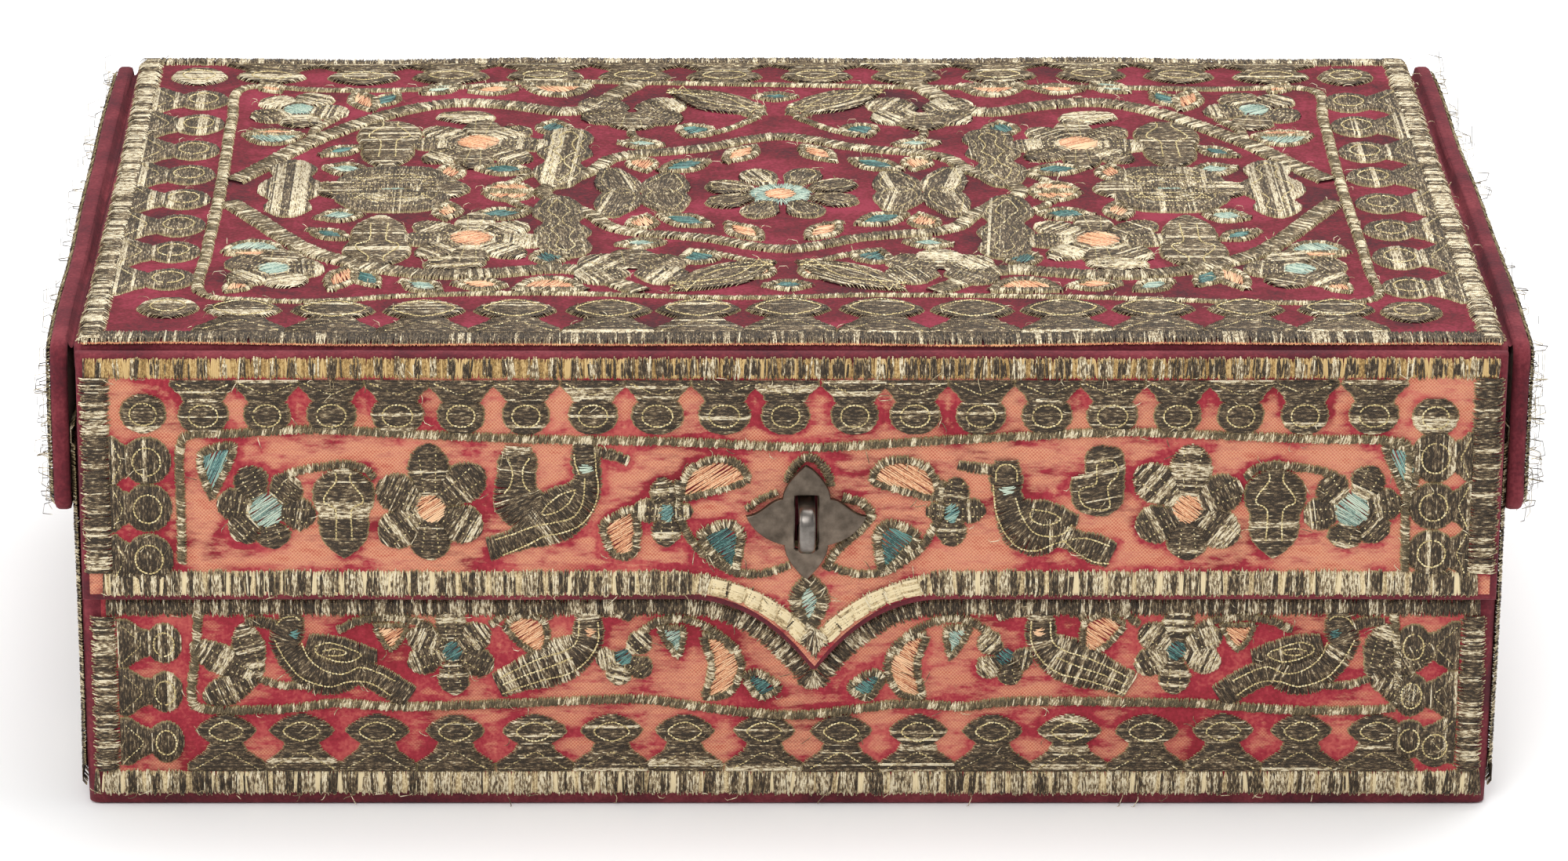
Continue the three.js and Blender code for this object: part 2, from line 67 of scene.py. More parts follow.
def millimetres(node: str) -> tuple[np.ndarray, np.ndarray]:
    """Lowest and highest corner of a solid at rest, in millimetres."""
    low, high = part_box(node)
    return np.array(low) / MM, np.array(high) / MM


# Materials


def linear(code: str) -> tuple[float, float, float, float]:
    """Turns an sRGB hex colour into the linear colour that shaders take.

    Args:
        code: Six hex digits.

    Returns:
        Linear red, green and blue, and full alpha.
    """
    parts = [int(code[i:i + 2], 16) / 255 for i in (0, 2, 4)]
    red, green, blue = [c / 12.92 if c <= 0.04045 else ((c + 0.055) / 1.055) ** 2.4 for c in parts]
    return red, green, blue, 1.0


def add_node(tree: bpy.types.NodeTree, kind: str, inputs: dict | None = None, ramp: list | None = None,
             **settings: object) -> bpy.types.Node:
    """Adds a node with its settings, its values and its links.

    Args:
        tree: Node tree of a material.
        kind: Node type, without the word ShaderNode in front.
        inputs: What goes into the node, by name or number: a value, a socket, or a node for its first output.
        ramp: Stops of a colour ramp, as (place, sRGB hex).
        **settings: Properties of the node.

    Returns:
        The new node.
    """
    node = tree.nodes.new("ShaderNode" + kind)
    for name, value in settings.items():
        setattr(node, name, value)
    for name, value in (inputs or {}).items():
        value = value.outputs[0] if isinstance(value, bpy.types.Node) else value
        if isinstance(value, bpy.types.NodeSocket):
            tree.links.new(value, node.inputs[name])
        else:
            node.inputs[name].default_value = value
    for i, (place, code) in enumerate(ramp or []):
        stops = node.color_ramp.elements
        stop = stops[i] if i < 2 else stops.new(place)
        stop.position = place
        stop.color = linear(code)
    return node


@dataclass(frozen=True)
class Finish:
    """A real material and the shader values that are the same all over it."""

    name: str
    roughness: float
    metallic: float = 0.0
    sheen: float = 0.0
    sheen_roughness: float = 0.4
    sheen_colour: str = "ffffff"

    def shader(self, colour: bpy.types.NodeSocket | tuple | None = None) -> tuple:
        """Starts the material with its surface shader.

        Args:
            colour: Base colour, if it is the same all over.

        Returns:
            The material, its node tree and its surface shader.
        """
        material = bpy.data.materials.new(self.name)
        material.use_nodes = True
        tree = material.node_tree
        tree.nodes.clear()
        surface = add_node(tree, "BsdfPrincipled", {
            "Roughness": self.roughness,
            "Metallic": self.metallic,
            "Sheen Weight": self.sheen,
            "Sheen Roughness": self.sheen_roughness,
            "Sheen Tint": linear(self.sheen_colour),
        })
        if colour is not None:
            surface.inputs["Base Color"].default_value = colour
        add_node(tree, "OutputMaterial", {"Surface": surface.outputs["BSDF"]})
        return material, tree, surface

    def bump(self, tree: bpy.types.NodeTree, surface: bpy.types.Node, height: bpy.types.Node,
             depth_mm: float,
             strength: float = 1.0) -> None:
        """Gives the surface a relief.

        Args:
            tree: Node tree of the material.
            surface: Its surface shader.
            height: Node whose first output is the relief.
            depth_mm: Depth of the relief in millimetres.
            strength: Share of the relief that shows.
        """
        relief = add_node(tree, "Bump", {"Height": height, "Distance": depth_mm * MM, "Strength": strength})
        tree.links.new(relief.outputs["Normal"], surface.inputs["Normal"])

    def material(self) -> bpy.types.Material:
        """The finished material."""
        raise NotImplementedError


@dataclass(frozen=True)
class Strip(Finish):
    """Flat metal strip wound on a silk core, tarnished dark, and pale where it has worn."""

    dark: str = "30261a"
    middle: str = "574733"
    worn: str = "7f6d52"
    light: str = "b3a281"
    pale: str = "ddd1b4"
    tip: str = "c9b682"
    turn_mm: float = 0.45

    def material(self) -> bpy.types.Material:
        """Each stitch's tone, worn patches along it, its gilt ends, and the fine turns of the strip.

        Returns:
            The material.
        """
        material, tree, surface = self.shader()
        tone = add_node(tree, "Attribute", attribute_name="tone").outputs["Fac"]
        thread = add_node(tree, "Attribute", attribute_name="thread").outputs["Vector"]
        along = add_node(tree, "SeparateXYZ", {"Vector": thread})
        patches = add_node(tree, "TexNoise", {
            "Vector": thread, "Scale": 0.62, "Detail": 3.0, "Roughness": 0.6,
        })
        worn = add_node(tree, "Math", {0: patches, 1: -0.5}, operation="ADD")
        patch = add_node(tree, "Math", {0: worn, 1: 3.3, 2: tone}, operation="MULTIPLY_ADD")
        shade = add_node(tree, "ValToRGB", {"Fac": patch}, ramp=[
            (0.0, self.dark), (1.0, self.pale), (0.32, self.middle), (0.58, self.worn), (0.78, self.light),
        ])
        end = add_node(tree, "MapRange", {
            "Value": along.outputs["Z"], "From Min": 0.12, "From Max": 0.62, "To Min": 0.52, "To Max": 0.0,
        })
        colour = add_node(tree, "Mix", {0: end, 6: shade, 7: linear(self.tip)}, data_type="RGBA")
        tree.links.new(colour.outputs[2], surface.inputs["Base Color"])
        turns = add_node(tree, "Math", {
            0: along.outputs["X"], 1: 2 * math.pi / self.turn_mm,
        }, operation="MULTIPLY")
        wave = add_node(tree, "Math", {0: turns}, operation="SINE")
        self.bump(tree, surface, wave, 0.05, 0.5)
        return material


@dataclass(frozen=True, kw_only=True)
class Floss(Finish):
    """Untwisted dyed silk, or the cotton under the thread, faded unevenly, with painted shadow between its
    strands and painted highlights on them, and a soft lustre along it.
    """

    colour: str
    faded_and_highlight: str
    shadow: str

    def material(self) -> bpy.types.Material:
        """Each stitch's tone between the painted shadow, the dyed colour and the faded colour, which also
        serves as painted highlight.

        Returns:
            The material.
        """
        material, tree, surface = self.shader()
        tone = add_node(tree, "Attribute", attribute_name="tone").outputs["Fac"]
        thread = add_node(tree, "Attribute", attribute_name="thread").outputs["Vector"]
        patches = add_node(tree, "TexNoise", {"Vector": thread, "Scale": 1.5})
        shade = add_node(tree, "Math", {0: patches, 1: 1.3, 2: tone}, operation="MULTIPLY_ADD")
        # shadow is painted shade in the gaps between strands; the faded colour is partly real fading and
        # partly painted highlight
        colour = add_node(tree, "ValToRGB", {"Fac": shade}, ramp=[
            (0.45, self.shadow), (1.0, self.faded_and_highlight), (0.8, self.colour),
        ])
        tree.links.new(colour.outputs["Color"], surface.inputs["Base Color"])
        return material


@dataclass(frozen=True, kw_only=True)
class Pile(Finish):
    """Silk velvet: a dense crimson pile with painted shade and painted sheen in large patches where its lay
    changes, worn through to a ribbed coral ground.

    The pile attribute says how much of the pile is left, from 0 to 1.
    """

    # deep is painted shade and lit is painted sheen on the pile's own crimson
    deep: str
    crimson: str
    lit: str
    wear: float
    ground: str = "cd896a"
    ground_dark: str = "ac5040"
    ground_light: str = "dfae88"
    rib_mm: float = 0.95
    warp_mm: float = 0.9

    def material(self) -> bpy.types.Material:
        """Pile and ground mixed by the wear, each with its own relief.

        Returns:
            The material.
        """
        material, tree, surface = self.shader()
        place = add_node(tree, "TexCoord").outputs["Object"]
        # Large patches of the pile's lay, painted as shade and sheen through the deep and lit colours below
        lay = add_node(tree, "TexNoise", {
            "Vector": place, "Scale": 1 / (22 * MM), "Detail": 4.0, "Roughness": 0.65,
        })
        tuft = add_node(tree, "TexNoise", {"Vector": place, "Scale": 1 / (0.9 * MM), "Detail": 2.0})
        mixed = add_node(tree, "Math", {0: tuft, 1: 0.4, 2: lay}, operation="MULTIPLY_ADD")
        pile = add_node(tree, "ValToRGB", {"Fac": mixed}, ramp=[
            (0.52, self.deep), (0.88, self.lit), (0.69, self.crimson),
        ])
        split = add_node(tree, "SeparateXYZ", {"Vector": place})
        rib = add_node(tree, "Math", {
            0: split.outputs["Z"], 1: 2 * math.pi / (self.rib_mm * MM),
        }, operation="MULTIPLY")
        warp = add_node(tree, "Math", {
            0: split.outputs["X"], 1: 2 * math.pi / (self.warp_mm * MM),
        }, operation="MULTIPLY")
        rib_wave = add_node(tree, "Math", {0: rib}, operation="SINE")
        warp_wave = add_node(tree, "Math", {0: warp}, operation="SINE")
        weave = add_node(tree, "Math", {0: warp_wave, 1: rib_wave}, operation="MULTIPLY")
        threads = add_node(tree, "MapRange", {"Value": weave, "From Min": -0.9, "From Max": 0.9})
        stretched = add_node(tree, "Mapping", {"Vector": place, "Scale": (1.0, 1.0, 3.4)})
        streak = add_node(tree, "TexNoise", {
            "Vector": stretched, "Scale": 1 / (13 * MM), "Detail": 6.0, "Roughness": 0.72,
        })
        tinted = add_node(tree, "Math", {0: threads, 1: 0.26, 2: streak}, operation="MULTIPLY_ADD")
        ground = add_node(tree, "ValToRGB", {"Fac": tinted}, ramp=[
            (0.38, self.ground_dark), (0.84, self.ground_light), (0.6, self.ground),
        ])
        left = add_node(tree, "Attribute", attribute_name="pile").outputs["Fac"]
        patchy = add_node(tree, "Math", {0: streak, 1: -0.5}, operation="ADD")
        wear = add_node(tree, "Math", {0: patchy, 1: 3.2, 2: left}, operation="MULTIPLY_ADD")
        amount = add_node(tree, "MapRange", {
            "Value": wear, "From Min": self.wear - 0.42, "From Max": self.wear + 0.2,
        })
        colour = add_node(tree, "Mix", {0: amount, 6: ground, 7: pile}, data_type="RGBA")
        relief = add_node(tree, "Mix", {0: amount, 2: threads, 3: tuft})
        tree.links.new(colour.outputs[2], surface.inputs["Base Color"])
        self.bump(tree, surface, relief, 0.25, 0.6)
        return material


@dataclass(frozen=True)
class Cloth(Finish):
    """Plain woven cloth with the two directions of its thread and faint stains."""

    colour: str = "94705a"
    dark: str = "7e5c48"
    thread_mm: float = 0.7

    def material(self) -> bpy.types.Material:
        """A checked relief of warp and weft over slowly changing colour.

        Returns:
            The material.
        """
        material, tree, surface = self.shader()
        place = add_node(tree, "TexCoord").outputs["Object"]
        stain = add_node(tree, "TexNoise", {"Vector": place, "Scale": 1 / (40 * MM), "Detail": 6.0})
        colour = add_node(tree, "ValToRGB", {"Fac": stain}, ramp=[(0.32, self.dark), (0.62, self.colour)])
        tree.links.new(colour.outputs["Color"], surface.inputs["Base Color"])
        waves = []
        split = add_node(tree, "SeparateXYZ", {"Vector": place})
        for axis in "XYZ":
            turn = add_node(tree, "Math", {
                0: split.outputs[axis], 1: 2 * math.pi / (self.thread_mm * MM),
            }, operation="MULTIPLY")
            waves.append(add_node(tree, "Math", {0: turn}, operation="SINE"))
        first = add_node(tree, "Math", {0: waves[0], 1: waves[1]}, operation="ADD")
        both = add_node(tree, "Math", {0: first, 1: waves[2]}, operation="ADD")
        self.bump(tree, surface, both, 0.08, 0.6)
        return material


@dataclass(frozen=True)
class Timber(Finish):
    """Sawn softwood or pasteboard, with its grain along X."""

    colour: str = "a9794c"
    dark: str = "6f4728"
    ring_mm: float = 5.0

    def material(self) -> bpy.types.Material:
        """Grain lines drawn out along the board, and the same lines as a slight relief.

        Returns:
            The material.
        """
        material, tree, surface = self.shader()
        place = add_node(tree, "TexCoord").outputs["Object"]
        stretched = add_node(tree, "Mapping", {"Vector": place, "Scale": (0.06, 1.0, 1.0)})
        grain = add_node(tree, "TexNoise", {
            "Vector": stretched, "Scale": 1 / (self.ring_mm * MM), "Detail": 6.0,
            "Distortion": 0.6,
        })
        colour = add_node(tree, "ValToRGB", {"Fac": grain}, ramp=[(0.35, self.dark), (0.65, self.colour)])
        tree.links.new(colour.outputs["Color"], surface.inputs["Base Color"])
        self.bump(tree, surface, grain, 0.12, 0.5)
        return material


@dataclass(frozen=True)
class Metal(Finish):
    """Hand-worked grey metal: cloudy tarnish and hammer marks."""

    colour: str = "766a5e"
    dark: str = "453d35"

    def material(self) -> bpy.types.Material:
        """Cloudy colour and roughness over a faint hammered relief.

        Returns:
            The material.
        """
        material, tree, surface = self.shader()
        place = add_node(tree, "TexCoord").outputs["Object"]
        cloud = add_node(tree, "TexNoise", {
            "Vector": place, "Scale": 1 / (5 * MM), "Detail": 6.0, "Roughness": 0.6,
        })
        colour = add_node(tree, "ValToRGB", {"Fac": cloud}, ramp=[(0.3, self.dark), (0.66, self.colour)])
        tree.links.new(colour.outputs["Color"], surface.inputs["Base Color"])
        rough = add_node(tree, "MapRange", {
            "Value": cloud, "To Min": self.roughness + 0.14, "To Max": self.roughness - 0.1,
        })
        tree.links.new(rough.outputs[0], surface.inputs["Roughness"])
        marks = add_node(tree, "TexNoise", {"Vector": place, "Scale": 1 / (2.2 * MM), "Detail": 3.0})
        self.bump(tree, surface, marks, 0.12, 0.35)
        return material


class Look(Enum):
    """The finishes of the casket, each made once."""

    METAL = Strip("silver_strip_thread_wound", roughness=0.42, metallic=0.4)
    COUCHING = Strip("gilt_strip_thread_couched", roughness=0.42, metallic=0.35, dark="8a7546",
                     middle="b29a60", worn="c5ae73", light="dac78f", pale="eee1bb", tip="dccb97")
    # A floss's shadow is painted shade, and its faded colour is partly painted highlight
    CORE = Floss("cotton_padding_exposed", roughness=0.85, colour="bfa97f", faded_and_highlight="dccba4", shadow="6f5c3e")
    SOILED = Floss("cotton_padding_soiled", roughness=0.85, colour="a5844f", faded_and_highlight="c8aa74", shadow="5f4826")
    PEACH = Floss("peach_silk_floss", roughness=0.5, sheen=0.1, colour="d6996e", faded_and_highlight="e9be94",
                  shadow="9c5638")
    TEAL = Floss("teal_silk_floss", roughness=0.5, sheen=0.1, colour="285450", faded_and_highlight="5a867e",
                 shadow="153436")
    BLUE = Floss("blue_silk_floss", roughness=0.5, sheen=0.1, colour="5b8580", faded_and_highlight="8caa9c",
                 shadow="2a4f4e")
    SKY = Floss("sky_silk_floss", roughness=0.5, sheen=0.1, colour="8aa294", faded_and_highlight="b8c6b2", shadow="4b6a62")
    RUST = Floss("rust_silk_edge", roughness=0.7, colour="a35c3a", faded_and_highlight="c98d60", shadow="6a3122")
    # A pile's deep and lit colours are painted shade and painted sheen
    VELVET = Pile("crimson_silk_velvet", roughness=0.9, sheen=0.09, sheen_colour="c0485e", wear=-1.5,
                  deep="3a0410", crimson="640a1b", lit="88253a")
    WORN = Pile("crimson_velvet_worn_to_ground", roughness=0.9, sheen=0.1, sheen_colour="d87a78", wear=0.34,
                deep="78121e", crimson="942231", lit="b6564e")
    RUBBED = Pile("crimson_velvet_rubbed", roughness=0.9, sheen=0.1, sheen_colour="b0606a", wear=-1.5,
                  deep="460b18", crimson="611622", lit="7e2f37")
    LINING = Cloth("plain_cotton_lining", roughness=0.9, sheen=0.15)
    WOOD = Timber("sawn_pine", roughness=0.75)
    CARD = Timber("layered_pasteboard", roughness=0.85, colour="b09a74", dark="86704c", ring_mm=2.0)
    PEWTER = Metal("hand_worked_pewter", roughness=0.42, metallic=1.0)
    STEEL = Metal("polished_iron_bar", roughness=0.3, metallic=1.0, colour="8c8680", dark="55504b")

    @property
    def material(self) -> bpy.types.Material:
        """The Blender material, made on its first use."""
        found = bpy.data.materials.get(self.value.name)
        return found or self.value.material()


# Shapes drawn in millimetres on a flat side


CURVE_STEP = 1.2
OVAL_POINTS = 26


def curve(points: list[Point] | np.ndarray, closed: bool = False) -> np.ndarray:
    """A smooth line through given points.

    Args:
        points: Points that the line runs through.
        closed: Whether the line comes back to its start.

    Returns:
        Points along the line.
    """
    given = np.asarray(points, float)
    if closed:
        padded = np.vstack([given[-1:], given, given[:2]])
    else:
        padded = np.vstack([2 * given[:1] - given[1:2], given, 2 * given[-1:] - given[-2:-1]])
    pieces = []
    for p0, p1, p2, p3 in zip(padded, padded[1:], padded[2:], padded[3:]):
        count = max(2, int(np.linalg.norm(p2 - p1) / CURVE_STEP))
        t = np.linspace(0, 1, count, endpoint=False)[:, None]
        pieces.append(0.5 * (2 * p1 + (p2 - p0) * t + (2 * p0 - 5 * p1 + 4 * p2 - p3) * t ** 2
                             + (3 * p1 - p0 - 3 * p2 + p3) * t ** 3))
    line = np.vstack(pieces)
    return line if closed else np.vstack([line, given[-1:]])


def turned_by(shape: np.ndarray, turn: float) -> np.ndarray:
    """A shape turned anticlockwise about its own origin, by degrees."""
    c, s = math.cos(math.radians(turn)), math.sin(math.radians(turn))
    return shape @ np.array([[c, s], [-s, c]])


def oval(width: float, height: float, fullness: float = 2.0) -> np.ndarray:
    """A closed oval, a diamond with soft corners below a fullness of 2, or a soft rectangle above it.

    Args:
        width: Its width.
        height: Its height.
        fullness: How square it is.

    Returns:
        Its points.
    """
    t = np.linspace(0, 2 * math.pi, OVAL_POINTS, endpoint=False)
    c, s = np.cos(t), np.sin(t)
    return np.stack([width / 2 * np.sign(c) * np.abs(c) ** (2 / fullness),
                     height / 2 * np.sign(s) * np.abs(s) ** (2 / fullness)], 1)


def spindle(length: float, width: float, shares: tuple[float, ...]) -> np.ndarray:
    """A closed shape along +X from the origin, the same on both sides of its axis.

    Args:
        length: Its length.
        width: Width where a share is 1.
        shares: Widths at equal steps along the length.

    Returns:
        Points round the shape, anticlockwise.
    """
    x = np.linspace(0, 1, len(shares)) * length
    half = width / 2 * np.array(shares)
    lower = np.stack([x, -half], 1)
    upper = np.stack([x, half], 1)[::-1]
    return curve(np.vstack([lower, upper]), closed=True)


def reached(line: np.ndarray) -> np.ndarray:
    """How far along a line each of its points lies."""
    return np.concatenate([[0], np.cumsum(np.linalg.norm(np.diff(line, axis=0), axis=1))])


def spots_on(line: np.ndarray, at: np.ndarray) -> np.ndarray:
    """Points at given distances along a line, held at its two ends."""
    reach = reached(line)
    return np.stack([np.interp(np.clip(at, 0, reach[-1]), reach, line[:, i]) for i in (0, 1)], 1)


def walked(line: np.ndarray, pace: float) -> np.ndarray:
    """Points at even paces along a line."""
    return spots_on(line, np.arange(0, reached(line)[-1], pace))


def unit(runs: np.ndarray) -> np.ndarray:
    """Directions of length 1."""
    return runs / np.maximum(np.linalg.norm(runs, axis=1, keepdims=True), 1e-6)


def left_of(runs: np.ndarray) -> np.ndarray:
    """Directions turned a quarter to the left."""
    return np.stack([-runs[..., 1], runs[..., 0]], -1)


def beside(path: np.ndarray, distance: float) -> np.ndarray:
    """A line that runs beside an open path, to its left."""
    return path + distance * left_of(unit(np.gradient(path, axis=0)))


def shrunk(shape: np.ndarray, inset: float) -> np.ndarray:
    """A closed anticlockwise outline moved inwards."""
    return shape + inset * left_of(unit(np.roll(shape, -1, 0) - np.roll(shape, 1, 0)))


PETAL = (0.34, 0.62, 0.85, 1.0, 0.97, 0.78, 0.3)
LEAF = (0.05, 0.7, 1.0, 0.75, 0.1)
DROP = (0.5, 0.95, 0.95, 0.55, 0.08)
TULIP = (0.3, 0.78, 1.0, 1.02, 0.98, 0.84, 0.84, 0.82, 0.72, 0.48, 0.08)
TULIP_LINE = ((0.03, 0.13), (0.12, 0.11), (0.29, 0.3), (0.38, 0.3), (0.44, 0.13), (0.8, 0.13))
WAISTED = (0.25, 0.75, 0.6, 1.0, 1.0, 0.6, 0.75, 0.25)
COLUMN = (0.4, 0.9, 0.75, 1.0, 0.6, 0.95, 0.8, 0.35)


@dataclass(frozen=True)
class Plane:
    """A flat side of the casket, measured in millimetres from its own origin.

    A slight sway keeps the side from being perfectly flat, as cloth over a board isn't.
    """

    origin: Spot
    right: Spot
    up: Spot
    sway: float

    def place(self, u: np.ndarray, v: np.ndarray, h: np.ndarray) -> np.ndarray:
        """Places on the side as places in the frame.

        Args:
            u: Distance to the right.
            v: Distance up.
            h: Height off the side.

        Returns:
            Places in metres, with one more axis than u.
        """
        u, v, h = np.broadcast_arrays(u, v, h)
        lift = self.sway * (np.sin(u / 31 + v / 47) * np.cos(v / 23 - u / 71) + 0.5 * np.sin(u / 13 + 1))
        out = np.cross(self.right, self.up)
        spots = [a[..., None] * np.array(b) for a, b in ((u, self.right), (v, self.up), (h + lift, out))]
        return (np.array(self.origin) + sum(spots)) * MM


def new_object(name: str, mesh: bpy.types.Mesh, look: Look | None) -> bpy.types.Object:
    """Puts a mesh into the scene as a piece with its finish.

    Args:
        name: Name of the piece.
        mesh: Its mesh.
        look: Its finish, if the mesh has none yet.

    Returns:
        The piece.
    """
    piece = bpy.data.objects.new(name, mesh)
    bpy.context.scene.collection.objects.link(piece)
    if look is not None:
        mesh.materials.append(look.material)
    mesh.polygons.foreach_set("use_smooth", [True] * len(mesh.polygons))
    return piece


def bent_grid(name: str, along: int, across: int, spots: object, look: Look | None,
              closed: bool = False) -> bpy.types.Object:
    """A grid bent into a surface.

    Args:
        name: Name of the piece.
        along: Faces in the first direction.
        across: Faces in the second direction.
        spots: Function from the two shares of the grid, from 0 to 1, to places in metres.
        look: Finish of the surface.
        closed: Whether sides that meet are joined and open ends are filled.

    Returns:
        The piece.
    """
    bm = bmesh.new()
    bmesh.ops.create_grid(bm, x_segments=along, y_segments=across, size=0.5)
    share = np.array([v.co[:2] for v in bm.verts]) + 0.5
    for vert, spot in zip(bm.verts, spots(share[:, 0], share[:, 1])):
        vert.co = spot
    if closed:
        bmesh.ops.remove_doubles(bm, verts=bm.verts, dist=1e-6)
        bmesh.ops.holes_fill(bm, edges=[e for e in bm.edges if e.is_boundary], sides=0)
        bmesh.ops.recalc_face_normals(bm, faces=bm.faces)
    mesh = bpy.data.meshes.new(name)
    bm.to_mesh(mesh)
    bm.free()
    return new_object(name, mesh, look)


def finish_piece(piece: bpy.types.Object, body: str, nodes: tuple[str, ...] = ()) -> None:
    """Lets a piece ride on its body and the solids that it stands for.

    Args:
        piece: The piece.
        body: Body that it rides on.
        nodes: Solids that it stands for.
    """
    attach(piece, body)
    if nodes:
        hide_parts(*nodes)
    CASKET.info("%s: %d faces on %s", piece.name, len(piece.data.polygons), body)


# Thread


@dataclass(frozen=True)
class Lay:
    """How a thread is laid.

    width and pitch are the thread's own width and the distance to the next one, crown the height of the
    padding, ramp how far from its ends a stitch rises to it, bright the share of strands that are still pale,
    and stray and cross how far a stitch's ends miss their places along it and across it.
    """

    width: float = 0.47
    pitch: float = 0.345
    crown: float = 1.05
    ramp: float = 2.0
    bright: float = 0.14
    stray: float = 0.2
    cross: float = 0.05
    look: Look = Look.METAL


BINDING = Lay(width=0.44, pitch=0.33, crown=1.15, ramp=2.6, bright=0.5, stray=0.55, cross=0.2)
CORD = Lay(width=0.44, pitch=0.34, crown=1.1, ramp=1.2, bright=0.36, stray=0.25, cross=0.12)
STEM = Lay(width=0.44, pitch=0.34, crown=1.0, ramp=1.3, bright=0.32, stray=0.28, cross=0.12)
LAID = Lay(bright=0.08)
SATIN = Lay(bright=0.26, stray=0.28, cross=0.1)
COUCHED = Lay(width=0.46, pitch=0.85, crown=0.1, ramp=0.4, bright=0.45, stray=0.1, cross=0.1,
              look=Look.COUCHING)
DOTTED = replace(COUCHED, width=0.38, pitch=1.2)
EDGING = Lay(width=0.45, pitch=0.42, crown=0.5, ramp=0.6, stray=0.2, cross=0.2, look=Look.RUST)
PADDING = Lay(width=0.6, pitch=0.5, crown=0.85, ramp=2.4, bright=0.3, stray=0.2, cross=0.08, look=Look.CORE)
STRANDS = replace(PADDING, width=0.72, pitch=4.6, crown=0.3, ramp=0.9, stray=0.3)
SILKS = {look: Lay(width=0.38, pitch=0.44, crown=0.7, ramp=1.2, stray=0.4, cross=0.4, look=look)
         for look in (Look.PEACH, Look.TEAL, Look.BLUE, Look.SKY)}
LOOKS = [Look.METAL, Look.COUCHING, Look.PEACH, Look.TEAL, Look.BLUE, Look.SKY, Look.RUST, Look.CORE,
         Look.SOILED]


def paler(lay: Lay, bright: float) -> Lay:
    """The same lay with another share of pale strands."""
    return replace(lay, bright=bright)


